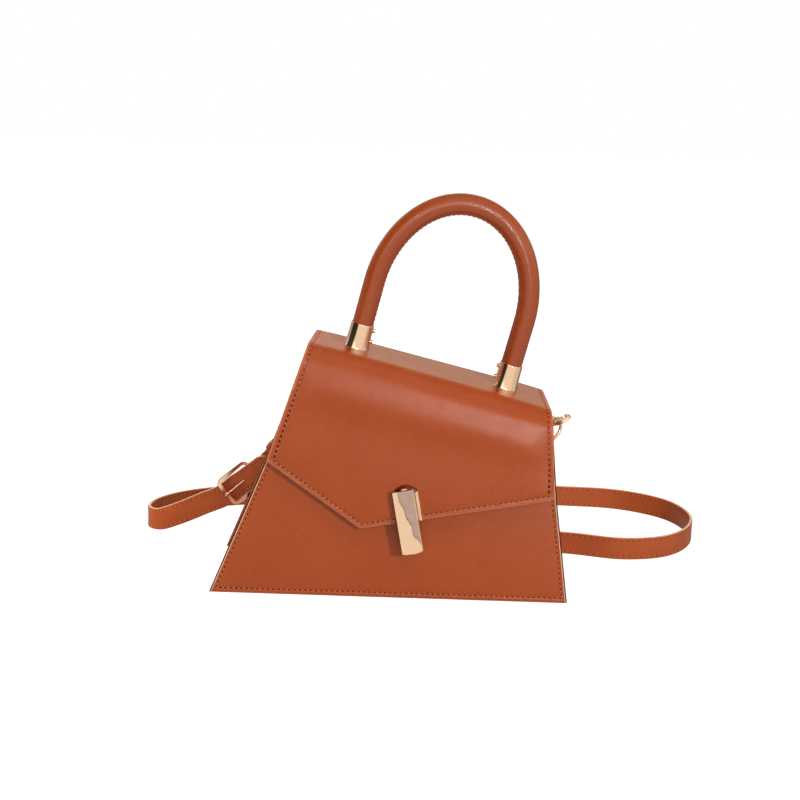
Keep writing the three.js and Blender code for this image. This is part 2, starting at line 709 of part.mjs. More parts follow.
// The flap's leather and its inner facing, drilled for the handle bolts and the hasp studs
function addFlap() {
  const boltHoles = [-1, 1].map((sign) => {
    const u = sign * HANDLE_HALF_SPAN;
    return rod(onTop(u, -8), onTop(u, 3), BOLT_RADIUS + GAP, 16);
  });
  const holes = [...boltHoles, ...haspHoles];
  addPiece('flap_leather', cut(flapSheet(0, FLAP_SKIN, 0), holes), LEATHER);
  const facing = flapSheet(FLAP_SKIN + GAP, FLAP_TOTAL, 2.5);
  addPiece('flap_facing', cut(facing, holes), LINING_CLOTH);
}
addFlap();

// Strap rings: D-shaped wire loops that swing in the tabs
const RING_HALF = 8.6;
const RING_REACH = 15.6;
const RING_SHOULDER = [0.88 * RING_REACH, 4.6];
const RING_SWING = { left: 22 * Math.PI / 180, right: 42 * Math.PI / 180 };

function ringPoint(side, reach, up) {
  const swing = RING_SWING[side];
  const local = vec(reach * Math.cos(swing), up, RING_LIFT + reach * Math.sin(swing));
  return local.applyMatrix4(tabFrame(side));
}

function addRing(side) {
  const shape = [
    [0, -6], [0, -2], [0, 2], [0, 6], [2, RING_HALF], [0.55 * RING_REACH, 7.8], RING_SHOULDER,
    [RING_REACH, 0], [RING_SHOULDER[0], -RING_SHOULDER[1]], [0.55 * RING_REACH, -7.8], [2, -RING_HALF],
  ];
  const knots = shape.map(([reach, up]) => ringPoint(side, reach, up));
  const curve = new THREE.CatmullRomCurve3(knots, true, 'centripetal');
  const points = curve.getPoints(33).slice(0, 33);
  addPiece(`ring_${side}`, tube(points, RING_WIRE, 8, true), GOLD);
}
addRing('left');
addRing('right');

// Snap hook on the right ring: a claw round the ring's wire, a neck and a flat eye for the strap
const CLAW_RADIUS = 5;
const CLAW_HANG = -2.2;
const CLAW_WIRE = 1.2;
const NECK_LENGTH = 9;
const EYE_HALF = 9;
const EYE_DEPTH = 6.5;
const EYE_WIRE = 1.2;
const hookAxis = vec(-0.86, 0.16, -0.48).normalize();
const hookCentre = ringPoint('right', ...RING_SHOULDER).addScaledVector(hookAxis, CLAW_HANG);
const eyeAlong = hookAxis.clone().cross(vec(0, 1, 0)).normalize();
const clawNormal = eyeAlong;
const clawSide = clawNormal.clone().cross(hookAxis).normalize();

function hookPoint(along, side) {
  return hookCentre.clone().addScaledVector(hookAxis, along).addScaledVector(clawSide, side);
}

function clawPoint(degrees) {
  const angle = degrees * Math.PI / 180;
  return hookPoint(CLAW_RADIUS * Math.cos(angle), CLAW_RADIUS * Math.sin(angle));
}

const NECK_START = CLAW_RADIUS - 0.4;
const EYE_START = NECK_START + NECK_LENGTH;
const EYE_BAR = EYE_START + EYE_DEPTH;
const GATE_PIVOT = 38;
const CLAW_TIP = 118;

function eyePoint(along, across) {
  return hookPoint(along, 0).addScaledVector(eyeAlong, across);
}

function addHook() {
  const arc = [];
  for (let degrees = 0; degrees >= -(360 - CLAW_TIP); degrees -= 11) arc.push(clawPoint(degrees));
  const eye = [
    [EYE_START - 0.6, 0], [EYE_START, EYE_HALF * 0.6], [EYE_START + 1.6, EYE_HALF],
    [EYE_BAR - 1, EYE_HALF], [EYE_BAR, EYE_HALF - 1], [EYE_BAR, 0], [EYE_BAR, 1 - EYE_HALF],
    [EYE_BAR - 1, -EYE_HALF], [EYE_START + 1.6, -EYE_HALF], [EYE_START, -EYE_HALF * 0.6],
  ].map(([along, across]) => eyePoint(along, across));
  const body = join([
    tube(arc, CLAW_WIRE, 8),
    rod(hookPoint(NECK_START, 0), hookPoint(EYE_START, 0), 2.3, 12),
    tube(eye, EYE_WIRE, 8, true),
  ]);
  addPiece('hook_body', body, GOLD);
  const gate = join([
    rod(clawPoint(GATE_PIVOT), clawPoint(CLAW_TIP - 26), 1.1, 10),
    rod(clawPoint(62), hookPoint(3.4, 9.2), 0.9, 10),
  ]);
  addPiece('hook_gate', gate, GOLD);
}
addHook();

// Strap: flat leather band. Each route point carries the direction across the band's width
const STRAP_WIDTH = 16;
const STRAP_THICK = 2.4;
const FLOOR_Z = STRAP_WIDTH / 2 + 0.3;

function band(route, width, thick, steps) {
  const line = new THREE.CatmullRomCurve3(route.map((r) => vec(...r.at)), false, 'centripetal');
  const across = new THREE.CatmullRomCurve3(route.map((r) => vec(...r.across)), false, 'centripetal');
  const loops = [];
  for (let k = 0; k <= steps; k++) {
    const t = k / steps;
    const point = line.getPoint(t);
    const tangent = line.getTangent(t);
    const wide = across.getPoint(t);
    wide.addScaledVector(tangent, -wide.dot(tangent)).normalize();
    const face = tangent.clone().cross(wide);
    const corner = (w, h) => {
      return point.clone().addScaledVector(wide, w * width / 2).addScaledVector(face, h * thick / 2);
    };
    loops.push([corner(-1, -1), corner(1, -1), corner(1, 1), corner(-1, 1)]);
  }
  return loft(loops);
}

const UPRIGHT = [0, 0, 1];
const LEFT_SLANT = [-0.5, 0, 0.86];
const RIGHT_SLANT = [-0.48, 0, 0.87];
const eyeBar = eyePoint(EYE_BAR, 0);
const BUCKLE_SLANT = [-0.64, 0, 0.77];
const BUCKLE_AT = 2;
const strapRoute = [
  { at: [-83.7, 42.2, 64.5], across: BUCKLE_SLANT },
  { at: [-96.6, 44.3, 53.7], across: BUCKLE_SLANT },
  { at: [-105.8, 46, 46.2], across: BUCKLE_SLANT },
  { at: [-117.9, 48.3, 36.1], across: LEFT_SLANT },
  { at: [-131, 53, 29], across: [-0.4, 0, 0.92] },
  { at: [-149.1, 59.5, 19.2], across: [-0.3, 0, 0.95] },
  { at: [-165.3, 67.4, 11.5], across: [-0.16, 0, 0.98] },
  { at: [-175, 81.6, FLOOR_Z + 0.8], across: UPRIGHT },
  { at: [-173.3, 101.6, FLOOR_Z], across: UPRIGHT },
  { at: [-158.7, 122, FLOOR_Z], across: UPRIGHT },
  { at: [-133.2, 138.1, FLOOR_Z], across: UPRIGHT },
  { at: [-81, 155, FLOOR_Z], across: UPRIGHT },
  { at: [23.4, 169.3, FLOOR_Z], across: UPRIGHT },
  { at: [133.8, 171.3, FLOOR_Z], across: UPRIGHT },
  { at: [178.7, 165.6, FLOOR_Z], across: UPRIGHT },
  { at: [210.5, 142.4, FLOOR_Z], across: UPRIGHT },
  { at: [221.3, 107.4, FLOOR_Z], across: UPRIGHT },
  { at: [213.1, 74.5, FLOOR_Z], across: UPRIGHT },
  { at: [192.9, 51.9, FLOOR_Z], across: UPRIGHT },
  { at: [163.5, 43.8, FLOOR_Z], across: UPRIGHT },
  { at: [127.2, 52.2, FLOOR_Z], across: UPRIGHT },
  { at: [72.4, 59.9, FLOOR_Z], across: UPRIGHT },
  { at: [10.7, 58.3, FLOOR_Z], across: UPRIGHT },
  { at: [-45, 57, FLOOR_Z], across: UPRIGHT },
  { at: [-74, 64, FLOOR_Z], across: UPRIGHT },
  { at: [-85, 82, FLOOR_Z], across: UPRIGHT },
  { at: [-74, 98, FLOOR_Z], across: UPRIGHT },
  { at: [-44, 102, FLOOR_Z + 2], across: [-0.08, 0, 1] },
  { at: [-12, 94, FLOOR_Z + 11], across: [-0.28, 0, 0.96] },
  { at: [20, 78, 34], across: [-0.42, 0, 0.9] },
  { at: [50, 61, 57], across: RIGHT_SLANT },
  { at: eyeBar.clone().addScaledVector(hookAxis, 11).toArray(), across: RIGHT_SLANT },
];

// A folded strap end: two layers sewn together with an eye at one or both ends, made as one block
function foldedEnd(length, width, eyes) {
  const outline = [];
  const steps = 8;
  eyes.forEach(({ reach, half }, end) => {
    const centre = end * length;
    for (let k = 0; k <= steps; k++) {
      const angle = Math.PI / 2 + Math.PI * end + (Math.PI * k) / steps;
      outline.push([centre + reach * Math.cos(angle), half * Math.sin(angle)]);
    }
  });
  return plate(outline, (p) => vec(p[0], -width / 2, p[1]), (p) => vec(p[0], width / 2, p[1]));
}

// Buckle: a rounded wire frame. The band runs under its toe bar and over its heel bar
const BUCKLE_WIRE = 1.1;
const BUCKLE_REACH = 11;
const BUCKLE_HALF = STRAP_WIDTH / 2 + 0.8 + BUCKLE_WIRE;
const BUCKLE_CORNER = 3.2;
const HEEL_FOLD = BUCKLE_WIRE + GAP + 1;
const BUCKLE_PLAY = 0.5;
const BUCKLE_LIFT = STRAP_THICK / 2 + GAP + HEEL_FOLD + BUCKLE_PLAY;
const PRONG_WIRE = 0.75;
const PRONG_HOOK = BUCKLE_WIRE + GAP + PRONG_WIRE;
const buckleCentre = vec(...strapRoute[BUCKLE_AT].at);
const buckleAlong = vec(...strapRoute[BUCKLE_AT - 1].at).sub(vec(...strapRoute[BUCKLE_AT + 1].at)).normalize();
const routeAcross = vec(...strapRoute[BUCKLE_AT].across);
const buckleAcross = routeAcross.addScaledVector(buckleAlong, -routeAcross.dot(buckleAlong)).normalize();
const buckleOut = buckleAlong.clone().cross(buckleAcross);
const BUCKLE_FRAME = frameAt(buckleCentre, buckleAlong, buckleAcross, buckleOut);
const buckleHeel = vec(BUCKLE_REACH, 0, -BUCKLE_LIFT).applyMatrix4(BUCKLE_FRAME);

function buckleLoop() {
  const points = [];
  const corners = [[1, 1, 0], [-1, 1, 90], [-1, -1, 180], [1, -1, 270]];
  for (const [sx, sy, start] of corners) {
    for (let k = 0; k <= 4; k++) {
      const angle = (start + 22.5 * k) * Math.PI / 180;
      const along = sx * (BUCKLE_REACH - BUCKLE_CORNER) + BUCKLE_CORNER * Math.cos(angle);
      const across = sy * (BUCKLE_HALF - BUCKLE_CORNER) + BUCKLE_CORNER * Math.sin(angle);
      points.push(vec(along, across, -BUCKLE_LIFT * along / BUCKLE_REACH));
    }
  }
  return points;
}

function addBuckle() {
  addPiece('buckle_frame', placed(tube(buckleLoop(), BUCKLE_WIRE, 8, true), BUCKLE_FRAME), GOLD);
  const line = [];
  for (let degrees = -110; degrees <= 90; degrees += 25) {
    const angle = degrees * Math.PI / 180;
    const along = BUCKLE_REACH + PRONG_HOOK * Math.cos(angle);
    line.push(vec(along, 0, -BUCKLE_LIFT + PRONG_HOOK * Math.sin(angle)));
  }
  const tip = BUCKLE_LIFT + BUCKLE_WIRE + GAP + PRONG_WIRE + 0.35;
  line.push(vec(-BUCKLE_REACH - 1.6, 0, tip));
  addPiece('buckle_prong', placed(tube(line, PRONG_WIRE, 8), BUCKLE_FRAME), GOLD);
}
addBuckle();

// Short strap from the left ring to the buckle's heel bar
const FOLD_REACH = 8.2;
const FOLD_HALF = RING_WIRE + 2.8;
const FOLD_SHEET = 1.2;
const PULL_AT = [0.73 * RING_REACH, -6.45];
const ringFar = ringPoint('left', ...PULL_AT);
const shortAxis = buckleHeel.clone().sub(ringFar).normalize();
const shortTilt = -buckleAcross.dot(shortAxis);
const shortAcross = buckleAcross.clone().addScaledVector(shortAxis, shortTilt).normalize();
const shortFace = shortAxis.clone().cross(shortAcross);
const SHORT_FRAME = frameAt(ringFar, shortAxis, shortAcross, shortFace);
const SHORT_LENGTH = buckleHeel.distanceTo(ringFar);
const SHORT_WIDTH = 9.4;
const KEEPER_SHARE = 0.28;
const RING_SLOT = 3.6;
const HEEL_SKEW = 1.5;

function block(from, to, halfWidth, halfHeight) {
  const outline = [[from, -halfHeight], [to, -halfHeight], [to, halfHeight], [from, halfHeight]];
  return plate(outline, (p) => vec(p[0], -halfWidth, p[1]), (p) => vec(p[0], halfWidth, p[1]));
}

function addShortStrap() {
  const body = foldedEnd(SHORT_LENGTH, SHORT_WIDTH, [
    { reach: FOLD_REACH, half: FOLD_HALF },
    { reach: HEEL_FOLD + HEEL_SKEW, half: HEEL_FOLD },
  ]);
  const eyeHalf = FOLD_HALF - FOLD_SHEET;
  const ringSlot = foldedEnd(RING_SLOT, 40, [
    { reach: FOLD_REACH - FOLD_SHEET, half: eyeHalf },
    { reach: 1.5, half: eyeHalf },
  ]);
  const heelPlay = BUCKLE_WIRE + GAP;
  const heelRoom = heelPlay + HEEL_SKEW;
  const heelSlot = block(SHORT_LENGTH - heelRoom, SHORT_LENGTH + heelRoom, 20, heelPlay);
  const prongNotch = block(SHORT_LENGTH - PRONG_HOOK - 2, SHORT_LENGTH + 6, 2.2, 8);
  addPiece('strap_short', placed(cut(body, [ringSlot, heelSlot, prongNotch]), SHORT_FRAME), LEATHER);
  const thick = lerp(FOLD_HALF, HEEL_FOLD, 0.2) + GAP;
  const wide = SHORT_WIDTH / 2 + GAP;
  const middle = SHORT_LENGTH * KEEPER_SHARE;
  const ring = block(middle - 3, middle + 3, wide + FOLD_SHEET, thick + FOLD_SHEET);
  const loop = cut(ring, [block(middle - 9, middle + 9, wide, thick)]);
  addPiece('strap_keeper', placed(loop, SHORT_FRAME), LEATHER);
}
addShortStrap();

// Long strap: the band and its fold round the hook's eye, all one piece of leather
const STRAP_FOLD = 24;
const EYE_FOLD = EYE_WIRE + GAP + 1.4;
const eyeFace = hookAxis.clone().cross(eyeAlong);
const FOLD_FRAME = frameAt(eyeBar, hookAxis, eyeAlong, eyeFace);
const STRAP_RIVET = 13;

function addLongStrap() {
  const ribbon = band(strapRoute, STRAP_WIDTH, STRAP_THICK, 150);
  const fold = placed(foldedEnd(STRAP_FOLD, STRAP_WIDTH - 0.6, [
    { reach: EYE_FOLD, half: EYE_FOLD },
    { reach: 1, half: FOLD_SHEET },
  ]), FOLD_FRAME);
  const eyePlay = EYE_WIRE + GAP;
  const eyeSlot = placed(block(-eyePlay, eyePlay, 20, eyePlay), FOLD_FRAME);
  const prongSlot = placed(block(-2, BUCKLE_REACH + 2.5, 1.6, 6), BUCKLE_FRAME);
  const drill = rod(vec(STRAP_RIVET, 0, -6), vec(STRAP_RIVET, 0, 6), RIVET_SHANK + GAP, 12);
  const holes = [eyeSlot, prongSlot, placed(drill, FOLD_FRAME)];
  addPiece('strap_long', cut(join([ribbon, fold]), holes), LEATHER);
  const reach = lerp(EYE_FOLD, FOLD_SHEET, STRAP_RIVET / STRAP_FOLD) + 2 * GAP;
  const rivet = join([
    rod(vec(STRAP_RIVET, 0, -reach - 0.5), vec(STRAP_RIVET, 0, reach + 0.5), RIVET_SHANK, 12),
    rod(vec(STRAP_RIVET, 0, reach), vec(STRAP_RIVET, 0, reach + 0.9), RIVET_HEAD, 16),
    rod(vec(STRAP_RIVET, 0, -reach - 0.9), vec(STRAP_RIVET, 0, -reach), RIVET_HEAD, 16),
  ]);
  addPiece('strap_rivet', placed(rivet, FOLD_FRAME), GOLD);
}
addLongStrap();

export default group;
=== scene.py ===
# Crossbody bag: a stiff trapezoid in tan leather with pale gold fittings

import math

import bpy
import numpy as np
from mathutils import Matrix, Vector


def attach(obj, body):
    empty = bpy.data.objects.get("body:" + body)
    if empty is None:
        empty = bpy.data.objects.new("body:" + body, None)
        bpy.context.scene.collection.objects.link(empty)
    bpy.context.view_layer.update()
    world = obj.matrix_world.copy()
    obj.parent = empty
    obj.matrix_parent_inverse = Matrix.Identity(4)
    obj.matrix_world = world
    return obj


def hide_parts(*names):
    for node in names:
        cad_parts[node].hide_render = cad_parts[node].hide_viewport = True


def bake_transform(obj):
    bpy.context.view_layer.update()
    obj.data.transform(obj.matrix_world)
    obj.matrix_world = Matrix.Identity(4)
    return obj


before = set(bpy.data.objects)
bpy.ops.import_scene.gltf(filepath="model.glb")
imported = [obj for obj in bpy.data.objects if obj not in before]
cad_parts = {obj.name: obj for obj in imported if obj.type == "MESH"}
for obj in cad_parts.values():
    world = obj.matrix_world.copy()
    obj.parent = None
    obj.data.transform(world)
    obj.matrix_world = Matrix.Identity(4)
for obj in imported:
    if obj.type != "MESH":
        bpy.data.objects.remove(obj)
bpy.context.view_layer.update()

# Studio: a white sweep, a small hard key lamp at the front right, a weak one beside it and a soft box above.
# A fill, a side lamp and a back lamp lift the shade, and two small lamps give only gleam. What a polished
# face mirrors is a warm, bright room with a dark stretch on the left.
scene = bpy.context.scene
scene.view_settings.view_transform = "Standard"
SKY = 0.22
FLOOR_GLOW = 0.9
FLOOR_SHADE = 0.5
FLOOR_MATT = 0.6
FLOOR_HALF = 6.0
ROOM_TONES = [
    (-180, 0.52), (-130, 0.46), (-110, 0.44), (-98, 0.03), (-44, 0.03), (-34, 0.95), (42, 0.95), (60, 0.75),
    (100, 0.75), (118, 0.2), (140, 0.36), (180, 0.52),
]
HEIGHT_TONES = [(-1, 1.0), (0.06, 1.0), (0.14, 1.8), (0.34, 1.8), (0.5, 1.1), (0.75, 0.8), (1, 0.6)]


def join(tree, node, values):
    """Sets inputs of a shader node: another node's output is linked, anything else is a plain value."""
    for key, value in values.items():
        if isinstance(value, bpy.types.NodeSocket):
            tree.links.new(value, node.inputs[key])
        else:
            node.inputs[key].default_value = value


def put(tree, kind, values=None, **settings):
    """Adds one shader node with its settings and its inputs."""
    made = tree.nodes.new(kind)
    for key, value in settings.items():
        setattr(made, key, value)
    join(tree, made, values or {})
    return made


def new_material(name):
    made = bpy.data.materials.new(name)
    made.use_nodes = True
    return made, made.node_tree


def grey(level):
    return (level, level, level, 1)


def tone(red, green, blue):
    """A colour given as screen values from 0 to 255."""
    screen = np.array([red, green, blue]) / 255
    linear = np.where(screen > 0.04, ((screen + 0.055) / 1.055) ** 2.4, screen / 12.92)
    return (*linear.tolist(), 1.0)


ROOM_WARM = tone(255, 241, 216)


def seen_directly(tree):
    """The node that tells rays apart, and 1 on rays that go straight to the eye or through glass."""
    path = put(tree, "ShaderNodeLightPath")
    straight = {0: path.outputs["Is Camera Ray"], 1: path.outputs["Is Transmission Ray"]}
    return path, put(tree, "ShaderNodeMath", straight, operation="MAXIMUM").outputs[0]


def tone_ramp(tree, value, reach, stops, stop_reach):
    """Brightness read from stops along a value that runs from minus reach to reach."""
    share = put(tree, "ShaderNodeMapRange", {"Value": value, "From Min": -reach, "From Max": reach})
    ramp = put(tree, "ShaderNodeValToRGB", {0: share.outputs["Result"]})
    marks = ramp.color_ramp.elements
    for stop in stops[1:-1]:
        marks.new(0.5 + 0.5 * stop[0] / stop_reach)
    for mark, stop in zip(marks, stops):
        mark.color = grey(stop[1])
    return ramp.outputs["Color"]


def light_the_room():
    world = bpy.data.worlds.new("studio")
    scene.world = world
    world.use_nodes = True
    room = world.node_tree
    room.nodes.clear()
    path, seen = seen_directly(room)
    glossy = path.outputs["Is Glossy Ray"]
    where = put(room, "ShaderNodeTexCoord")
    split = put(room, "ShaderNodeSeparateXYZ", {0: where.outputs["Generated"]})
    ahead = put(room, "ShaderNodeMath", {0: split.outputs["Y"], 1: -1.0}, operation="MULTIPLY")
    sides = {0: split.outputs["X"], 1: ahead.outputs[0]}
    around = put(room, "ShaderNodeMath", sides, operation="ARCTAN2")
    tones = {
        0: tone_ramp(room, around.outputs[0], math.pi, ROOM_TONES, 180),
        1: tone_ramp(room, split.outputs["Z"], 1.0, HEIGHT_TONES, 1),
    }
    level = put(room, "ShaderNodeMath", tones, operation="MULTIPLY")
    mirrored = put(room, "ShaderNodeMix", {"Factor": glossy, "A": SKY, "B": level.outputs[0]})
    strength = put(room, "ShaderNodeMix", {"Factor": seen, "A": mirrored.outputs["Result"], "B": 1.0})
    hues = {"Factor": glossy, "A": grey(1), "B": ROOM_WARM}
    hue = put(room, "ShaderNodeMix", hues, data_type="RGBA")
    light = {"Color": hue.outputs["Result"], "Strength": strength.outputs["Result"]}
    sky = put(room, "ShaderNodeBackground", light)
    put(room, "ShaderNodeOutputWorld", {"Surface": sky.outputs[0]})


def lay_floor():
    mesh = bpy.data.meshes.new("floor")
    size = FLOOR_HALF
    corners = [(-size, -size, 0), (size, -size, 0), (size, size, 0), (-size, size, 0)]
    mesh.from_pydata(corners, [], [(0, 1, 2, 3)])
    floor = bpy.data.objects.new("floor", mesh)
    scene.collection.objects.link(floor)
    paper, tree = new_material("white_paper")
    tree.nodes.clear()
    seen = seen_directly(tree)[1]
    matt = put(tree, "ShaderNodeBsdfDiffuse", {"Color": grey(FLOOR_MATT)})
    faint = put(tree, "ShaderNodeBsdfDiffuse", {"Color": grey(FLOOR_SHADE)})
    glow = put(tree, "ShaderNodeEmission", {"Color": grey(1), "Strength": FLOOR_GLOW})
    both = put(tree, "ShaderNodeAddShader", {0: faint.outputs[0], 1: glow.outputs[0]})
    pick = put(tree, "ShaderNodeMixShader", {0: seen, 1: matt.outputs[0], 2: both.outputs[0]})
    put(tree, "ShaderNodeOutputMaterial", {"Surface": pick.outputs[0]})
    mesh.materials.append(paper)
    floor.visible_glossy = False


def lamp(name, place, aim, size, power, mirrored=True, matt=True):
    light = bpy.data.lights.new(name, "AREA")
    light.size = size
    light.energy = power
    holder = bpy.data.objects.new(name, light)
    holder.location = place
    holder.visible_camera = False
    holder.visible_glossy = mirrored
    holder.visible_diffuse = matt
    holder.rotation_euler = (Vector(aim) - Vector(place)).to_track_quat("-Z", "Y").to_euler()
    scene.collection.objects.link(holder)


light_the_room()
lay_floor()
BAG_MIDDLE = (0.0, 0.0, 0.09)
lamp("key", (0.8, -1.4, 0.62), BAG_MIDDLE, 0.12, 12.8, mirrored=False)
lamp("second", (0.2, -1.4, 1.05), BAG_MIDDLE, 0.4, 1.2)
lamp("soft_box", (0.1, -0.2, 1.15), BAG_MIDDLE, 0.8, 5.2, mirrored=False)
lamp("fill", (-0.6, -1.5, 0.55), BAG_MIDDLE, 0.8, 0.5, mirrored=False)
lamp("gleam", (0.42, -1.45, 0.45), BAG_MIDDLE, 0.16, 5.0, matt=False)
lamp("strip", (-0.34, -1.42, 0.62), (0.02, 0.0, 0.2), 0.08, 1.5, matt=False)
lamp("side", (-0.5, -0.07, 0.14), (-0.17, 0.08, 0.04), 0.2, 1.0, mirrored=False)
lamp("back", (0.2, 1.4, 0.8), BAG_MIDDLE, 0.8, 5.0, mirrored=False)

# Camera: a long lens straight in front of the bag and a little above it, held with a slight roll. Its place
# is fitted to the outline of the bag.
CAMERA_PLACE = (0.00212, -0.92702, 0.32666)
CAMERA_AZIMUTH = math.radians(-0.093)
CAMERA_ELEVATION = math.radians(12.6)
CAMERA_ROLL = math.radians(1.9)
CAMERA_LENS = 65.276
CAMERA_SENSOR = 36.0

turn = Matrix.Rotation(CAMERA_AZIMUTH, 3, "Z") @ Matrix.Rotation(math.pi / 2 - CAMERA_ELEVATION, 3, "X")
camera_data = bpy.data.cameras.new("camera")
camera_data.lens = CAMERA_LENS
camera_data.sensor_width = CAMERA_SENSOR
camera = bpy.data.objects.new("camera", camera_data)
camera.location = CAMERA_PLACE
camera.rotation_euler = (turn @ Matrix.Rotation(CAMERA_ROLL, 3, "Z")).to_euler()
scene.collection.objects.link(camera)
scene.camera = camera

# Front and back panels: stiff leather over board, cut to the same slanted outline and sewn to the gussets all
# round. Their cut edges are burnished and painted dark. The thread runs in a shallow groove, with a needle
# hole per stitch.
LEFT_FOOT_X = -0.115
LEFT_BEND = (-0.0808, 0.085)
LEFT_TOP = (-0.0536, 0.1601)
RIGHT_FOOT_X = 0.115
RIGHT_BEND = (0.1056, 0.067)
SLOPE = 0.2425
RIGHT_TOP_X = 0.1004
RIGHT_TOP = (RIGHT_TOP_X, LEFT_TOP[1] - SLOPE * (RIGHT_TOP_X - LEFT_TOP[0]))
BASE_HALF_DEPTH = 0.048
TOP_HALF_DEPTH = 0.027
LEAN = (BASE_HALF_DEPTH - TOP_HALF_DEPTH) / LEFT_TOP[1]
LEAN_ANGLE = math.atan(LEAN)
FRONT_NORMAL = np.array([0, -math.cos(LEAN_ANGLE), math.sin(LEAN_ANGLE)])
FRONT_UP = np.array([0, math.sin(LEAN_ANGLE), math.cos(LEAN_ANGLE)])
BACK_NORMAL = np.array([0, math.cos(LEAN_ANGLE), math.sin(LEAN_ANGLE)])
BACK_UP = np.array([0, -math.sin(LEAN_ANGLE), math.cos(LEAN_ANGLE)])
PANEL_THICK = 0.003
FRONT_TOP_DROP = 0.007
BACK_TOP_DROP = 0.004
STITCH_IN = 0.0034
STITCH_PITCH = 0.0034
EDGE_MARKS = [0, 0.0001, 0.0003, 0.0006, 0.001, 0.0015, 0.002, 0.0027, STITCH_IN, 0.0041, 0.005, 0.0075]
STITCH_MARK = EDGE_MARKS.index(STITCH_IN)
PAINTED = 0.00105
LIP = 0.0018
# Width of a pale line inside the painted sides: a painted highlight on the edge's lit corner.
HIGHLIGHT_LINE_WIDE = 0.0016
INNER_ROUNDING = 0.0002
PANEL_SWELL = 0.0007
SWELL_START = 0.004
SWELL_WIDE = 0.014
GROOVE_START = 0.0024
GROOVE_FADE = 0.001
GROOVE_DEEP = 0.00022
GROOVE_WIDE = 0.0007
THREAD_SIDES = 6
THREAD_SHARES = [0.26, 0.36, 0.5, 0.64, 0.74]
THREAD_GIRTH = [0.5, 0.92, 1.0, 0.92, 0.5]
THREAD_LIFT = [-0.00012, 0.00012, 0.00024, 0.00012, -0.00012]
THREAD_SLANT = 0.00014
HOLE_SIDES = 8
HOLE_RISE = 0.00012
HOLE_SINK = 0.0003
HOLE_NARROW = 0.75
SMALL_STEP = 0.0002
TAN = tone(171, 72, 24)
TAN_DEEP = tone(163, 66, 21)
EDGE_BROWN = tone(48, 20, 13)
# A tan edge colour lighter than the leather: the bare turned edge, with a painted highlight where its
# rounding catches the light.
EDGE_TAN_HIGHLIGHT = tone(194, 110, 72)
THREAD_TAN = tone(204, 110, 64)
# Dark brown for the needle holes: painted shade in their recesses.
HOLE_SHADE_BROWN = tone(88, 26, 8)
# A pale colour for painted highlights: the lit corner inside a panel's painted sides, and the lit edges of
# the straps, tabs and keeper.
EDGE_HIGHLIGHT_PALE = tone(238, 190, 154)


def lerp(a, b, share):
    return a + (b - a) * share


def left_x(z):
    return np.interp(z, [0, LEFT_BEND[1], LEFT_TOP[1]], [LEFT_FOOT_X, LEFT_BEND[0], LEFT_TOP[0]])


def right_x(z):
    return np.interp(z, [0, RIGHT_BEND[1], RIGHT_TOP[1]], [RIGHT_FOOT_X, RIGHT_BEND[0], RIGHT_TOP[0]])


def top_z(x):
    return LEFT_TOP[1] - SLOPE * (x - LEFT_TOP[0])


def half_depth(z):
    return BASE_HALF_DEPTH - LEAN * z


def on_front(x, z, raised):
    return np.array([x, -half_depth(z), z]) + raised * FRONT_NORMAL


def on_back(x, z, raised):
    return np.array([x, half_depth(z), z]) + raised * BACK_NORMAL


def texture(tree, kind, values, **settings):
    """A procedural texture laid on a piece by its own coordinates. Returns its outputs."""
    where = put(tree, "ShaderNodeTexCoord").outputs["Object"]
    return put(tree, kind, {"Vector": where, **values}, **settings).outputs


def mixed(tree, share, low, high):
    """A colour between two, by a share."""
    parts = {"Factor": share, "A": low, "B": high}
    return put(tree, "ShaderNodeMix", parts, data_type="RGBA").outputs["Result"]


def between(tree, value, low, high, start=0.0, end=1.0):
    """A value brought from the range of start to end into the range of low to high."""
    limits = {"Value": value, "From Min": start, "From Max": end, "To Min": low, "To Max": high}
    return put(tree, "ShaderNodeMapRange", limits).outputs["Result"]


def embossed(tree, height, strength, distance, below=None):
    """A surface tilted by a height, on top of another embossing where one is given."""
    bump = put(tree, "ShaderNodeBump", {"Height": height, "Strength": strength, "Distance": distance})
    if below is not None:
        join(tree, bump, {"Normal": below})
    return bump.outputs[0]


def finish(made, surface):
    """Sets the inputs of a material's main shader."""
    join(made.node_tree, made.node_tree.nodes["Principled BSDF"], surface)
    return made


def shaded(colour, share):
    """A colour made darker or lighter by a share."""
    return tuple(min(1.0, share * part) for part in colour[:3]) + (1.0,)


def tan_leather(name, light, deep, roughness, gloss=0.36):
    """Smooth calf leather: soft mottling, fine pebble grain, tiny pores and an uneven polish."""
    made, tree = new_material(name)
    cloud = texture(tree, "ShaderNodeTexNoise", {"Scale": 34.0, "Detail": 4.0, "Roughness": 0.6})
    grain = texture(tree, "ShaderNodeTexVoronoi", {"Scale": 1250.0}, feature="DISTANCE_TO_EDGE")
    pores = texture(tree, "ShaderNodeTexNoise", {"Scale": 3600.0, "Detail": 2.0})
    polish = texture(tree, "ShaderNodeTexNoise", {"Scale": 120.0, "Detail": 3.0})
    mottle = between(tree, cloud[0], 0.35, 1.0, 0.3, 0.62)
    pebble = embossed(tree, grain["Distance"], 0.42, 0.0002)
    return finish(made, {
        "Specular IOR Level": gloss,
        "Base Color": mixed(tree, mottle, deep, light),
        "Roughness": between(tree, polish[0], roughness - 0.05, roughness + 0.07),
        "Normal": embossed(tree, pores[0], 0.06, 0.0001, pebble),
    })


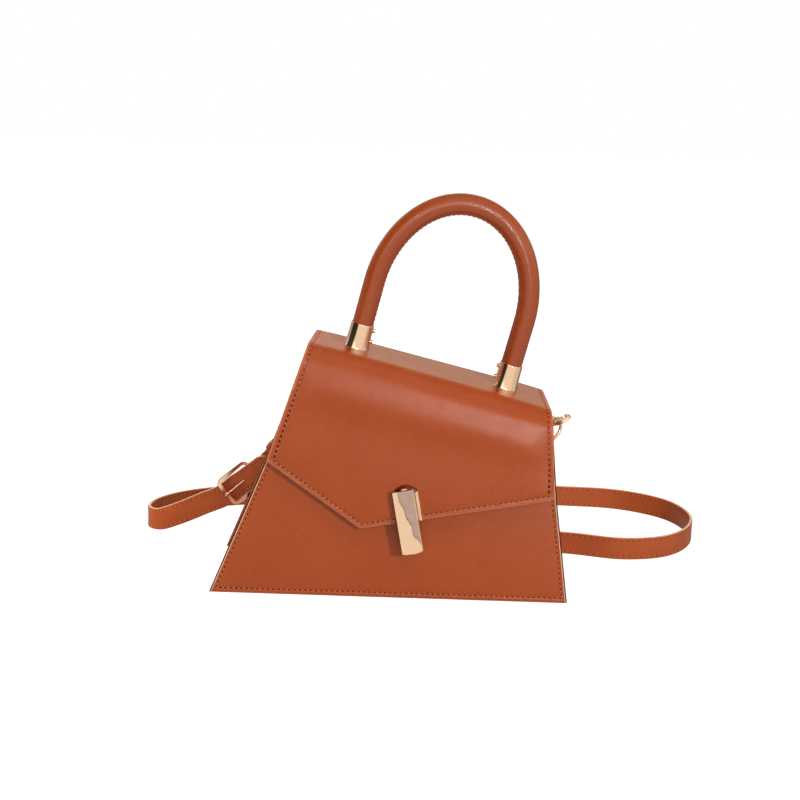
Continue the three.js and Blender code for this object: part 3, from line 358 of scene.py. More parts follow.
def edge_paint(name, colour):
    """An edge colour, slightly wavy where it was brushed on: the real dark edge paint, and the lighter edge
    colours that are partly painted highlight.
    """
    made, tree = new_material(name)
    brush = texture(tree, "ShaderNodeTexNoise", {"Scale": 700.0, "Detail": 2.0})
    return finish(made, {
        "Base Color": colour,
        "Specular IOR Level": 0.2,
        "Roughness": between(tree, brush[0], 0.36, 0.56),
        "Normal": embossed(tree, brush[0], 0.15, 0.0002),
    })


def sewing_thread(name, colour):
    """Bonded polyester thread, with the twist of its plies."""
    made, tree = new_material(name)
    twist = texture(tree, "ShaderNodeTexWave", {"Scale": 900.0, "Distortion": 1.0})
    return finish(made, {
        # Darker along the twist's grooves: painted shade between the plies.
        "Base Color": mixed(tree, twist[1], shaded(colour, 0.72), colour),
        "Roughness": 0.55,
        "Sheen Weight": 0.25,
        "Normal": embossed(tree, twist[1], 0.3, 0.0001),
    })


def needle_hole_shade(name, colour):
    """A dark disc at each end of a stitch, painted shade for the needle hole's recess, flecked lighter by a
    noise.
    """
    made, tree = new_material(name)
    fray = texture(tree, "ShaderNodeTexNoise", {"Scale": 2500.0})
    return finish(made, {
        "Base Color": mixed(tree, fray[0], colour, shaded(colour, 1.7)),
        "Roughness": 0.8,
        "Specular IOR Level": 0.05,
    })


LEATHER = tan_leather("tan_leather", TAN, TAN_DEEP, 0.26)
PAINT = edge_paint("edge_paint", EDGE_BROWN)
TAN_EDGE_HIGHLIGHT = edge_paint("tan_edge_highlight", EDGE_TAN_HIGHLIGHT)
PAINTED_HIGHLIGHT_EDGE = edge_paint("painted_highlight_edge", EDGE_HIGHLIGHT_PALE)
THREAD = sewing_thread("sewing_thread", THREAD_TAN)
HOLE_SHADE = needle_hole_shade("needle_hole_shade", HOLE_SHADE_BROWN)
SKIN_MATERIALS = [LEATHER, PAINT]
# Turned edges of the flap and gussets take the lighter tan edge colour, partly a painted highlight.
TURNED_MATERIALS = [LEATHER, TAN_EDGE_HIGHLIGHT]


def make_piece(name, points, faces, materials, marks=None, smooth=True):
    """A mesh object from points in metres. marks gives each face's material."""
    mesh = bpy.data.meshes.new(name)
    mesh.from_pydata([tuple(p) for p in points], [], [tuple(f) for f in faces])
    for material in materials:
        mesh.materials.append(material)
    if marks is not None:
        mesh.polygons.foreach_set("material_index", list(marks))
    mesh.polygons.foreach_set("use_smooth", [smooth] * len(mesh.polygons))
    mesh.update()
    piece = bpy.data.objects.new(name, mesh)
    scene.collection.objects.link(piece)
    return piece


def dress(nodes):
    """Hides the solids that a piece stands for."""
    if nodes:
        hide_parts(*nodes)


def fix(piece, body, slot, *nodes):
    """Sets a piece on its body."""
    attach(piece, body)
    dress(nodes)


def spread(length, count):
    """Shares of a length: close marks at both ends and even steps between them."""
    inner = EDGE_MARKS[-1]
    middle = [lerp(inner, length - inner, k / count) for k in range(1, count)]
    far = [length - mark for mark in reversed(EDGE_MARKS)]
    return np.array(EDGE_MARKS + middle + far) / length


def unit(vectors):
    return vectors / np.linalg.norm(vectors, axis=-1, keepdims=True)


def reach_from_edges(skin):
    """Distance of each grid point from the grid's left, right, first and last edge, along the grid."""
    across = np.linalg.norm(np.diff(skin, axis=1), axis=2)
    up = np.linalg.norm(np.diff(skin, axis=0), axis=2)
    left = np.pad(np.cumsum(across, axis=1), ((0, 0), (1, 0)))
    start = np.pad(np.cumsum(up, axis=0), ((1, 0), (0, 0)))
    return {"left": left, "right": left[:, -1:] - left, "start": start, "end": start[-1:] - start}


def grid_normals(skin, wrap):
    padded = np.concatenate([skin[:, -1:], skin, skin[:, :1]], axis=1) if wrap else skin
    along = np.gradient(padded, axis=1)
    upward = np.gradient(padded, axis=0)
    normal = unit(np.cross(along, upward))
    return normal[:, 1:-1] if wrap else normal


def sheet_of_leather(
    name, skin, thick, materials, sewn=(), swell=0.0, rounding=0.0008, wrap=False, painted=PAINTED
):
    """A closed leaf on a grid of points, with rounded painted edges, grooves for the seams and a soft swell.
    Returns the piece, its outer grid and the grid's normals."""
    rows, columns = skin.shape[:2]
    reach = reach_from_edges(skin)
    ends = np.minimum(reach["start"], reach["end"])
    sides = np.full_like(ends, 1.0) if wrap else np.minimum(reach["left"], reach["right"])
    edge = np.minimum(ends, sides)
    fall = rounding - np.sqrt(rounding**2 - (rounding - np.minimum(edge, rounding)) ** 2)
    groove = np.zeros_like(edge)
    for seam in sewn:
        crossing = ends if seam in ("left", "right") else sides
        kept = np.clip((crossing - GROOVE_START) / GROOVE_FADE, 0, 1)
        dent = GROOVE_DEEP * np.exp(-(((reach[seam] - STITCH_IN) / GROOVE_WIDE) ** 2))
        groove = np.maximum(groove, dent * kept)
    puff = swell * (1 - np.exp(-np.maximum(edge - SWELL_START, 0) / SWELL_WIDE))
    normal = grid_normals(skin, wrap)
    outer = skin + normal * (puff - fall - groove)[..., None]
    inner = skin - normal * (thick - np.minimum(fall, INNER_ROUNDING))[..., None]
    points = np.concatenate([outer.reshape(-1, 3), inner.reshape(-1, 3)])
    back = rows * columns
    top = back - columns
    last = columns if wrap else columns - 1
    faces, marks, rims = [], [], []
    for r in range(rows - 1):
        for c in range(last):
            n = (c + 1) % columns
            quad = [r * columns + c, r * columns + n, (r + 1) * columns + n, (r + 1) * columns + c]
            near = max(edge[r, c], edge[r, n], edge[r + 1, c])
            faces += [quad, [back + i for i in reversed(quad)]]
            marks += [1 if near < painted else 0] * 2
    for c in range(last):
        n = (c + 1) % columns
        rims += [(n, c), (top + c, top + n)]
    if not wrap:
        for a in range(0, top, columns):
            b = a + columns
            rims += [(a, b), (b + columns - 1, b - 1)]
    faces += [[a, b, back + b, back + a] for a, b in rims]
    marks += [1] * len(rims)
    return make_piece(name, points, faces, materials, marks), outer, normal


def circle(first, second, sides):
    """Directions round a circle, from the first towards the second."""
    angles = [2 * math.pi * turn / sides for turn in range(sides)]
    return [first * math.cos(angle) + second * math.sin(angle) for angle in angles]


def ring_faces(loops, count, closed=False):
    """Quads between loops of count points each, and end caps where the run is open."""
    faces = []
    for k in range(loops if closed else loops - 1):
        here, after = k * count, (k + 1) % loops * count
        for i in range(count):
            j = (i + 1) % count
            faces.append([here + i, here + j, after + j, after + i])
    if not closed:
        faces.append(list(reversed(range(count))))
        faces.append([(loops - 1) * count + i for i in range(count)])
    return faces


def sew(name, line, up, pitch, width=0.0008, hole=0.0012):
    """A run of stitches along a line on a surface, each a short arched thread between two needle holes. Each
    needle hole is a small dark disc, painted shade for its recess.
    """
    steps = np.linalg.norm(np.diff(line, axis=0), axis=1)
    along = np.pad(np.cumsum(steps), (1, 0))
    count = max(2, round(along[-1] / pitch))
    step = along[-1] / count

    def at(distance, values):
        return np.array([np.interp(distance, along, values[:, k]) for k in range(3)])

    def directions(place):
        near = at(max(place - SMALL_STEP, 0), line)
        far = at(min(place + SMALL_STEP, along[-1]), line)
        return unit(at(place, up)), unit(far - near)

    points, faces, marks = [], [], []
    for k in range(count):
        first = len(points)
        for share, thick, rise in zip(THREAD_SHARES, THREAD_GIRTH, THREAD_LIFT):
            place = (k + share) * step
            out, ahead = directions(place)
            side = unit(np.cross(ahead, out))
            middle = at(place, line) + out * rise + side * THREAD_SLANT * (share - 0.5) * 2
            points += [middle + way * thick * width / 2 for way in circle(side, out, THREAD_SIDES)]
        thread = ring_faces(len(THREAD_SHARES), THREAD_SIDES)
        faces += [[first + i for i in face] for face in thread]
        marks += [0] * len(thread)
    for k in range(count + 1):
        place = min(max(k * step, SMALL_STEP), along[-1] - SMALL_STEP)
        middle = at(place, line)
        out, ahead = directions(place)
        side = np.cross(ahead, out)
        first = len(points)
        points += [middle + out * HOLE_RISE, middle - out * HOLE_SINK]
        points += [middle + hole * way for way in circle(ahead, HOLE_NARROW * side, HOLE_SIDES)]
        for turn in range(HOLE_SIDES):
            a, b = first + 2 + turn, first + 2 + (turn + 1) % HOLE_SIDES
            faces += [[first, b, a], [first + 1, a, b]]
        marks += [1] * (2 * HOLE_SIDES)
    return make_piece(name, points, faces, [THREAD, HOLE_SHADE], marks)


def levels_up(bend, top):
    """Heights from the floor to a top edge, close together at both ends and with one at the bend."""
    inner = EDGE_MARKS[-1]
    below = [lerp(inner, bend, k / 12) for k in range(1, 13)]
    above = [lerp(bend, top - inner, k / 10) for k in range(1, 10)]
    return EDGE_MARKS + below + above + [top - mark for mark in reversed(EDGE_MARKS)]


def panel_grid(top_drop, facing):
    """Rows from the floor to the top line, columns from left to right as seen from outside."""
    lefts = levels_up(LEFT_BEND[1], LEFT_TOP[1] - top_drop)
    rights = levels_up(RIGHT_BEND[1], RIGHT_TOP[1] - top_drop)
    grid = []
    for left_z, right_z in zip(lefts, rights):
        left = np.array([left_x(left_z), left_z])
        right = np.array([right_x(right_z), right_z])
        shares = spread(np.linalg.norm(right - left), 26)
        row = [lerp(left, right, share) for share in shares]
        if facing > 0:
            row.reverse()
        grid.append([(x, facing * half_depth(z), z) for x, z in row])
    return np.array(grid)


def seam_loop(outer, normal, to_row):
    """The line of an all-round seam: down the first edge, along the foot and up the other edge."""
    k = STITCH_MARK
    down = slice(to_row, k, -1)
    upward = slice(k, to_row + 1)
    pieces = []
    for values in (outer, normal):
        pieces.append(np.concatenate([values[down, k], values[k, k:-k - 1], values[upward, -k - 1]]))
    return pieces


def mark_edges(panel):
    """Paints a pale highlight line inside the dark painted sides, on the edge's lit corner, and gives the
    foot edge the lighter tan edge colour, partly a painted highlight, in place of the dark paint.
    """
    panel.data.materials.append(TAN_EDGE_HIGHLIGHT)
    panel.data.materials.append(PAINTED_HIGHLIGHT_EDGE)
    for face in panel.data.polygons:
        x, y, z = face.center
        beside = min(x - left_x(z), right_x(z) - x)
        if z < PAINTED:
            face.material_index = len(SKIN_MATERIALS)
        elif PAINTED < beside < HIGHLIGHT_LINE_WIDE:
            face.material_index = len(SKIN_MATERIALS) + 1


def add_panel(name, top_drop, facing):
    grid = panel_grid(top_drop, facing)
    seams = ("left", "right", "start")
    panel, outer, normal = sheet_of_leather(
        name + "_leather", grid, PANEL_THICK, SKIN_MATERIALS, seams, PANEL_SWELL, LIP
    )
    mark_edges(panel)
    fix(panel, "bag", "leather", name)
    line, up = seam_loop(outer, normal, grid.shape[0] - 1 - STITCH_MARK)
    fix(sew(name + "_stitches", line, up, STITCH_PITCH), "bag", "leather")


add_panel("front_panel", FRONT_TOP_DROP, -1)
add_panel("back_panel", BACK_TOP_DROP, 1)

# Gussets and base: narrow leather side walls, turned outwards at both panels where they are sewn, and a stiff
# floor. Each wall is creased a little inwards towards its top, and its top edge is turned and sewn down.
GUSSET_THICK = 0.0012
SEAM_FLANGE = 0.004
GUSSET_TURN = 0.0016
GUSSET_TOP_DROP = 0.0085
GUSSET_CREASE = 0.0035
FLANGE_INSET = 0.0004
GUSSET_GAP = 0.0002
FLANGE_COLUMNS = 10
BASE_THICK = 0.003
BASE_LIFT = 0.0001
BASE_GAP = 0.0003
BASE_INSET = SEAM_FLANGE + 0.0025


def gusset_row(z, edge_x, inward, crease):
    """One level of a gusset: along the front panel, across the bag and out along the back panel."""
    y = half_depth(z) - PANEL_THICK - GUSSET_GAP
    front = [(FLANGE_INSET, -y), (0.0008, -y), (0.002, -y)]
    for k in range(7):
        angle = math.pi / 2 * k / 6
        reach = SEAM_FLANGE - GUSSET_TURN + GUSSET_TURN * math.sin(angle)
        front.append((reach, -y + GUSSET_TURN * (1 - math.cos(angle))))
    inner = y - GUSSET_TURN
    wall = []
    for k in range(1, 12):
        share = k / 12
        fold = crease * (1 - abs(2 * share - 1)) ** 1.3
        wall.append((SEAM_FLANGE + fold, lerp(-inner, inner, share)))
    back = [(reach, -across) for reach, across in reversed(front)]
    return [(edge_x + inward * reach, across, z) for reach, across in front + wall + back]


def add_gusset(side, edge_at, inward, top):
    levels = lerp(0, top, spread(top, 16))
    grid = []
    for z in levels:
        row = gusset_row(z, edge_at(z), inward, GUSSET_CREASE * (z / top) ** 1.5)
        grid.append(row if inward < 0 else row[::-1])
    name = f"gusset_{side}"
    wall, outer, normal = sheet_of_leather(
        name + "_leather", np.array(grid), GUSSET_THICK, TURNED_MATERIALS, ("end",), rounding=0.0005
    )
    fix(wall, "bag", "leather", name)
    row = -STITCH_MARK - 1
    across = slice(FLANGE_COLUMNS, -FLANGE_COLUMNS)
    fix(sew(name + "_stitches", outer[row, across], normal[row, across], STITCH_PITCH), "bag", "leather")


add_gusset("left", left_x, 1, LEFT_TOP[1] - GUSSET_TOP_DROP)
add_gusset("right", right_x, -1, RIGHT_TOP[1] - GUSSET_TOP_DROP)


def add_base():
    y = BASE_HALF_DEPTH - PANEL_THICK - BASE_GAP
    left = LEFT_FOOT_X + BASE_INSET
    right = RIGHT_FOOT_X - BASE_INSET
    across = lerp(left, right, spread(right - left, 20))
    deep = lerp(y, -y, spread(2 * y, 8))
    grid = np.array([[(x, d, BASE_LIFT) for x in across] for d in deep])
    board = sheet_of_leather("base_panel_leather", grid, BASE_THICK - BASE_LIFT, SKIN_MATERIALS)[0]
    fix(board, "bag", "leather", "base_panel")


add_base()

# Lining: a cloth bag hung inside the leather, with a slip pocket on its back wall. Both are cotton twill with
# a folded hem.
LINING_DROP = 0.011
LINING_THICK = 0.0006
LINING_GAP = 0.0012
LINING_INSET = SEAM_FLANGE + GUSSET_THICK + 0.0022
LINING_LIFT = 0.0008
FLOOR_GAP = 0.0004
CLOTH_BROWN = tone(138, 106, 76)
CLOTH_SHADE = tone(104, 78, 54)
POCKET_LEFT = -0.045
POCKET_RIGHT = 0.068
POCKET_FOOT = 0.028
POCKET_TOP = 0.092
POCKET_THICK = 0.0012


def twill_cloth(name, colour, shade):
    """Cotton twill with slanting ribs and a little fuzz."""
    made, tree = new_material(name)
    ribs = {"Scale": 420.0, "Distortion": 0.6, "Detail": 1.0}
    rib = texture(tree, "ShaderNodeTexWave", ribs, bands_direction="DIAGONAL")
    weft = texture(tree, "ShaderNodeTexNoise", {"Scale": 1500.0, "Detail": 2.0})
    raised = embossed(tree, rib[1], 0.35, 0.0002)
    return finish(made, {
        "Base Color": mixed(tree, rib[1], shade, colour),
        "Roughness": 0.88,
        "Sheen Weight": 0.3,
        "Normal": embossed(tree, weft[0], 0.2, 0.0001, raised),
    })


TWILL = twill_cloth("twill_cloth", CLOTH_BROWN, CLOTH_SHADE)
CLOTH_MATERIALS = [TWILL, TWILL]


def lining_depth(z):
    return half_depth(z) - PANEL_THICK - LINING_GAP


def lining_row(left_z, right_z, crease):
    """One level round the inside, clockwise from above so that the seen face looks into the bag."""
    left = np.array([left_x(left_z) + LINING_INSET, left_z])
    right = np.array([right_x(right_z) - LINING_INSET, right_z])
    row = []
    for start, end, side in ((left, right, 1), (right, left, -1)):
        for k in range(21):
            x, z = lerp(start, end, k / 20)
            row.append((x, side * lining_depth(z), z))
        y = side * lining_depth(end[1])
        for k in range(1, 8):
            share = k / 8
            fold = crease * (1 - abs(2 * share - 1))
            row.append((end[0] - side * fold, lerp(y, -y, share), end[1]))
    return row


def add_lining():
    foot = BASE_THICK + LINING_LIFT
    tops = (LEFT_TOP[1] - LINING_DROP, RIGHT_TOP[1] - LINING_DROP)
    shares = [0, 0.004, 0.02] + [k / 18 for k in range(1, 18)] + [0.975, 0.99, 0.997, 1]
    grid = []
    for share in shares:
        crease = GUSSET_CREASE * share**1.5
        grid.append(lining_row(lerp(foot, tops[0], share), lerp(foot, tops[1], share), crease))
    walls = sheet_of_leather(
        "lining_walls", np.array(grid), LINING_THICK, CLOTH_MATERIALS, wrap=True, rounding=0.0003
    )[0]
    fix(walls, "bag", "lining_cloth", "lining")
    y = lining_depth(foot) - FLOOR_GAP
    left = left_x(foot) + LINING_INSET + FLOOR_GAP
    right = right_x(foot) - LINING_INSET - FLOOR_GAP
    across = lerp(left, right, spread(right - left, 18))
    deep = lerp(-y, y, spread(2 * y, 8))
    grid = np.array([[(x, d, foot + LINING_THICK) for x in across] for d in deep])
    ground = sheet_of_leather("lining_floor", grid, LINING_THICK, CLOTH_MATERIALS, rounding=0.0003)[0]
    fix(ground, "bag", "lining_cloth")


def add_pocket():
    across = lerp(POCKET_LEFT, POCKET_RIGHT, spread(POCKET_RIGHT - POCKET_LEFT, 16))
    levels = lerp(POCKET_FOOT, POCKET_TOP, spread(POCKET_TOP - POCKET_FOOT, 12))
    thick = LINING_THICK + POCKET_THICK
    grid = np.array([[(x, lining_depth(z) - thick, z) for x in across] for z in levels])
    pocket, outer, normal = sheet_of_leather(
        "inner_pocket_cloth", grid, POCKET_THICK, CLOTH_MATERIALS, ("end",), 0.0006, rounding=0.0005
    )
    fix(pocket, "bag", "lining_cloth", "inner_pocket")
    k = STITCH_MARK
    hem = sew("inner_pocket_stitches", outer[-k - 1, k:-k], normal[-k - 1, k:-k], STITCH_PITCH)
    fix(hem, "bag", "leather")


add_lining()
add_pocket()

# Flap: one soft skin sewn to the back panel, carried over the sloped top, rolled over the front and cut to a
# slanted edge. A cloth facing is bonded inside it. The skin runs on down the back panel as a band, sewn to
# it.
FLAP_SKIN = 0.002
FLAP_OUT = 0.0076
FLAP_ROLL = 0.014
TOP_TAPER = 0.002
FLAP_LEFT = (-0.0796, 0.0868)
FLAP_VERTEX = (-0.0191, 0.0459)
FLAP_RIGHT = (0.1033, 0.0677)
FLAP_CORNER = 0.004
CORNER_LIFT = 0.6
FLAP_LIP = 0.0014
FLAP_SWELL = 0.0008
# Width of the flap's outer edge band in the lighter tan edge colour, partly a painted highlight on its
# rounded lip.
FLAP_PAINTED = 0.0016
PLUMP = 0.0016
PLUMP_DOWN = 0.012
PLUMP_WIDE = 0.012
PLUMP_SIDES = 0.012
FLAP_WIDTH = 0.17
VERTEX_SHARE = (FLAP_VERTEX[0] - FLAP_LEFT[0]) / (FLAP_RIGHT[0] - FLAP_LEFT[0])
BAND_OUT = 0.0022
BAND_DROP = 0.015
BAND_MARKS = 0.004
BACK_CORNER = 0.003
FACING_SUNK = 0.0022
FACING_THICK = 0.0011
FACING_INSET = 0.0025
SLOPE_ANGLE = math.atan(SLOPE)
ALONG_TOP = np.array([math.cos(SLOPE_ANGLE), 0, -math.sin(SLOPE_ANGLE)])
OFF_TOP = np.array([math.sin(SLOPE_ANGLE), 0, math.cos(SLOPE_ANGLE)])
HINGE_DROP = 0.0037
HINGE_LEFT = np.array([LEFT_TOP[0], half_depth(LEFT_TOP[1]), LEFT_TOP[1] - HINGE_DROP])
HINGE_RIGHT = np.array([RIGHT_TOP[0], half_depth(RIGHT_TOP[1]), RIGHT_TOP[1] - HINGE_DROP])


def flap_edge(share):
    """The slanted lower edge, with its right corner rounded off."""
    if share < VERTEX_SHARE:
        part = share / VERTEX_SHARE
        return lerp(np.array(FLAP_LEFT), np.array(FLAP_VERTEX), part)
    part = (share - VERTEX_SHARE) / (1 - VERTEX_SHARE)
    x, z = lerp(np.array(FLAP_VERTEX), np.array(FLAP_RIGHT), part)
    short = min(max(0.0, FLAP_CORNER - (FLAP_RIGHT[0] - x)), FLAP_CORNER)
    return np.array([x, z + CORNER_LIFT * (FLAP_CORNER - math.sqrt(FLAP_CORNER**2 - short**2))])


def flap_line(share, sunk, inset, with_band, plump=0.0):
    """One line of the flap from its lower front edge, up round the roll, over the top and down the back."""
    back_x = lerp(LEFT_TOP[0], RIGHT_TOP[0], share)
    x = back_x - TOP_TAPER * (1 - share)
    top = top_z(x)
    edge_x, edge_z = flap_edge(share)
    centre_z = top - FLAP_ROLL
    centre_y = -half_depth(centre_z) - FLAP_OUT + FLAP_ROLL / math.cos(LEAN_ANGLE)
    radius = FLAP_ROLL - sunk
    roll_y = centre_y - radius * math.cos(LEAN_ANGLE)
    roll_z = centre_z + radius * math.sin(LEAN_ANGLE)
    foot_z = edge_z + inset - sunk * math.sin(LEAN_ANGLE)
    front = (roll_z - foot_z) / math.cos(LEAN_ANGLE)
    marks = EDGE_MARKS + [lerp(EDGE_MARKS[-1], front, k / 20) for k in range(1, 20)]
    fuller = plump * (1 - math.exp(-((min(share, 1 - share) * FLAP_WIDTH / PLUMP_SIDES) ** 2)))
    draped = []
    for mark in marks:
        z = foot_z + mark * math.cos(LEAN_ANGLE)
        down = (roll_z - z) / math.cos(LEAN_ANGLE)
        out = fuller * math.exp(-(((down - PLUMP_DOWN) / PLUMP_WIDE) ** 2))
        y = roll_y - (roll_z - z) * LEAN
        draped.append((y - out * math.cos(LEAN_ANGLE), z + out * math.sin(LEAN_ANGLE)))
    for k in range(17):
        angle = LEAN_ANGLE + (math.pi / 2 - LEAN_ANGLE) * k / 16
        past = radius * (angle - LEAN_ANGLE)
        out = radius + fuller * math.exp(-(((past + PLUMP_DOWN) / PLUMP_WIDE) ** 2))
        draped.append((centre_y - out * math.cos(angle), centre_z + out * math.sin(angle)))
    line = [(lerp(x, edge_x, (top - z) / (top - edge_z)), y, z) for y, z in draped]
    back_top = top_z(back_x)
    back = half_depth(back_top) + BAND_OUT if with_band else half_depth(back_top) - inset
    straight_end = back - BACK_CORNER if with_band else back
    for k in range(1, 11):
        across = lerp(x, back_x, k / 10)
        line.append((across, lerp(centre_y, straight_end, k / 10), top_z(across) - sunk))
    if with_band:
        for k in range(1, 8):
            angle = math.pi / 2 * (1 - k / 8)
            y = back - BACK_CORNER + BACK_CORNER * math.cos(angle)
            line.append((back_x, y, back_top - BACK_CORNER + BACK_CORNER * math.sin(angle)))
        drops = [lerp(BACK_CORNER, BAND_DROP - BAND_MARKS, k / 6) for k in range(7)]
        drops += [BAND_DROP - mark for mark in reversed(EDGE_MARKS[:STITCH_MARK + 1])]
        line += [(back_x, half_depth(back_top - drop) + BAND_OUT, back_top - drop) for drop in drops]
    return line


def flap_columns(inset):
    """Shares across the flap, with a column at the point of its edge."""
    first = [(inset + mark) / FLAP_WIDTH for mark in EDGE_MARKS]
    left = [lerp(first[-1], VERTEX_SHARE, k / 10) for k in range(1, 11)]
    right = [lerp(VERTEX_SHARE, 1 - first[-1], k / 20) for k in range(1, 20)]
    return first + left + right + [1 - share for share in reversed(first)]


def across_hinge(piece, *nodes):
    """Bakes a leather piece's placing into its mesh and hides the solids that it stands for."""
    axis = unit(HINGE_RIGHT - HINGE_LEFT)
    way = np.array([0, -0.9, 0]) + 0.45 * OFF_TOP
    way = unit(way - axis * np.dot(way, axis))
    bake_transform(piece)
    dress(nodes)


def flap_grid(columns, *line_settings):
    """Rows from the front edge over the top, columns from the viewer's left to right."""
    return np.array([flap_line(share, *line_settings) for share in columns]).transpose(1, 0, 2)


def add_flap():
    grid = flap_grid(flap_columns(0), 0, 0, True, PLUMP)
    seams = ("left", "right", "start", "end")
    skin, outer, normal = sheet_of_leather(
        "flap_leather_skin", grid, FLAP_SKIN, TURNED_MATERIALS, seams, FLAP_SWELL, FLAP_LIP,
        painted=FLAP_PAINTED,
    )
    across_hinge(skin, "flap_leather")
    k = STITCH_MARK
    line, up = seam_loop(outer, normal, grid.shape[0] - 1 - k)
    across_hinge(sew("flap_stitches", line, up, STITCH_PITCH))
    band = sew("flap_band_stitches", outer[-k - 1, k:-k], normal[-k - 1, k:-k], STITCH_PITCH)
    fix(band, "bag", "leather")


def add_facing():
    grid = flap_grid(flap_columns(FACING_INSET), FACING_SUNK, FACING_INSET, False)
    cloth = sheet_of_leather("flap_facing_cloth", grid, FACING_THICK, CLOTH_MATERIALS, rounding=0.0004)[0]
    fix(cloth, "flap", "lining_cloth", "flap_facing")


add_flap()
add_facing()

# Gold fittings: zinc castings polished and plated pale gold. The hidden bolts, washers, nuts, backing plate
# and the two halves of the magnetic snap keep their own solids and take the same plating.
GOLD_LIGHT = tone(248, 224, 207)
GOLD_DEEP = tone(240, 206, 182)
# Darker gold tones, used only as painted shade on the hasp block.
SHADE_GOLD_LIGHT = tone(176, 140, 116)
SHADE_GOLD_DEEP = tone(150, 112, 90)


def gold_plating(name, roughness, light=GOLD_LIGHT, deep=GOLD_DEEP):
    """Polished plating with a faint haze and fine scratches."""
    made, tree = new_material(name)
    haze = texture(tree, "ShaderNodeTexNoise", {"Scale": 240.0, "Detail": 3.0})
    scratch = texture(tree, "ShaderNodeTexNoise", {"Scale": 2200.0, "Detail": 1.0})
    return finish(made, {
        "Metallic": 1.0,
        "Base Color": mixed(tree, haze[0], deep, light),
        "Roughness": between(tree, haze[0], roughness * 0.7, roughness * 1.3),
        "Normal": embossed(tree, scratch[0], 0.02, 0.0001),
    })


def coat_solid(node_name, material):
    """Gives a solid that stays as it is its material."""
    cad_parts[node_name].data.materials.clear()
    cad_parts[node_name].data.materials.append(material)


GOLD = gold_plating("gold_plating", 0.09)
GOLD_MIRROR = gold_plating("gold_mirror", 0.02)
GOLD_SATIN = gold_plating("gold_satin", 0.3)
# A darker copy of the plating: painted shade and a painted dark reflection on the hasp block.
GOLD_PAINTED_SHADE = gold_plating("gold_painted_shade", 0.2, SHADE_GOLD_LIGHT, SHADE_GOLD_DEEP)
PLAIN_GOLD_NODES = (
    "snap_socket", "snap_stud", "hasp_backing", "hasp_nut_upper", "hasp_nut_lower", "handle_bolt_left",
    "handle_bolt_right", "handle_washer_left", "handle_washer_right",
)
for node_name in PLAIN_GOLD_NODES:
    coat_solid(node_name, GOLD)

# Handle: a leather sleeve sewn shut along its inner side over a foamed cord, arched and standing square on
# the slope. Each end is clamped in a gold ferrule by two grub screws.
HANDLE_X = 0.0228
HANDLE_HALF_SPAN = 0.0501
HANDLE_LEG = 0.045
HANDLE_RISE = 0.0636
SLEEVE_RADIUS = 0.0069
SLEEVE_START = 0.0046
SLEEVE_SIDES = 48
SLEEVE_SEAM = 0.0005
SLEEVE_SEAM_ANGLE = 0.10
PUCKER = 0.00016
PUCKER_ANGLE = 0.5
PUCKER_TURN = 2.1
SLEEVE_STITCH_ANGLE = 0.28
SLEEVE_STITCH_PITCH = 0.0032
HIDDEN_STATIONS = 12
FERRULE_SEAT = 0.0003
FERRULE_HEIGHT = 0.0165
FERRULE_FOOT = 0.0084
FERRULE_RADIUS = 0.0076
FERRULE_FLOOR = 0.004
FERRULE_SOFT = 0.0002
BOLT_HOLE = 0.0024
SCREW_RADIUS = 0.0014
SCREW_OUT = 0.0016
SCREW_SHARES = {"lower": 0.36, "upper": 0.8}
PIN_POINT = 0.00005
FOAM_WHITE = tone(228, 221, 207)
FOAM_SHADE = tone(200, 190, 172)
# The handle uses a darker copy of the body's leather: painted shade that offsets its stronger gloss.
HANDLE_TAN_SHADED = tone(160, 67, 25)
HANDLE_TAN_DEEP_SHADED = tone(150, 61, 22)
HANDLE_LEATHER_SHADED = tan_leather("handle_leather_shaded", HANDLE_TAN_SHADED, HANDLE_TAN_DEEP_SHADED, 0.2, gloss=0.58)
HANDLE_CENTRE = np.array([HANDLE_X, 0, top_z(HANDLE_X)])


def on_top(u, v):
    return HANDLE_CENTRE + u * ALONG_TOP + v * OFF_TOP


def handle_stations():
    """Points along the arch with the direction that faces its inside."""
    stations = []
    legs = np.linspace(SLEEVE_START, HANDLE_LEG, 40, endpoint=False)
    for v in legs:
        stations.append((on_top(-HANDLE_HALF_SPAN, v), ALONG_TOP, OFF_TOP))
    for k in range(121):
        angle = math.pi * (1 - k / 120)
        c, s = math.cos(angle), math.sin(angle)
        place = on_top(HANDLE_HALF_SPAN * c, HANDLE_LEG + HANDLE_RISE * s)
        ahead = unit(HANDLE_HALF_SPAN * s * ALONG_TOP - HANDLE_RISE * c * OFF_TOP)
        stations.append((place, np.cross(np.array([0, 1.0, 0]), ahead), ahead))
    for v in reversed(legs):
        stations.append((on_top(HANDLE_HALF_SPAN, v), -ALONG_TOP, -OFF_TOP))
    return stations


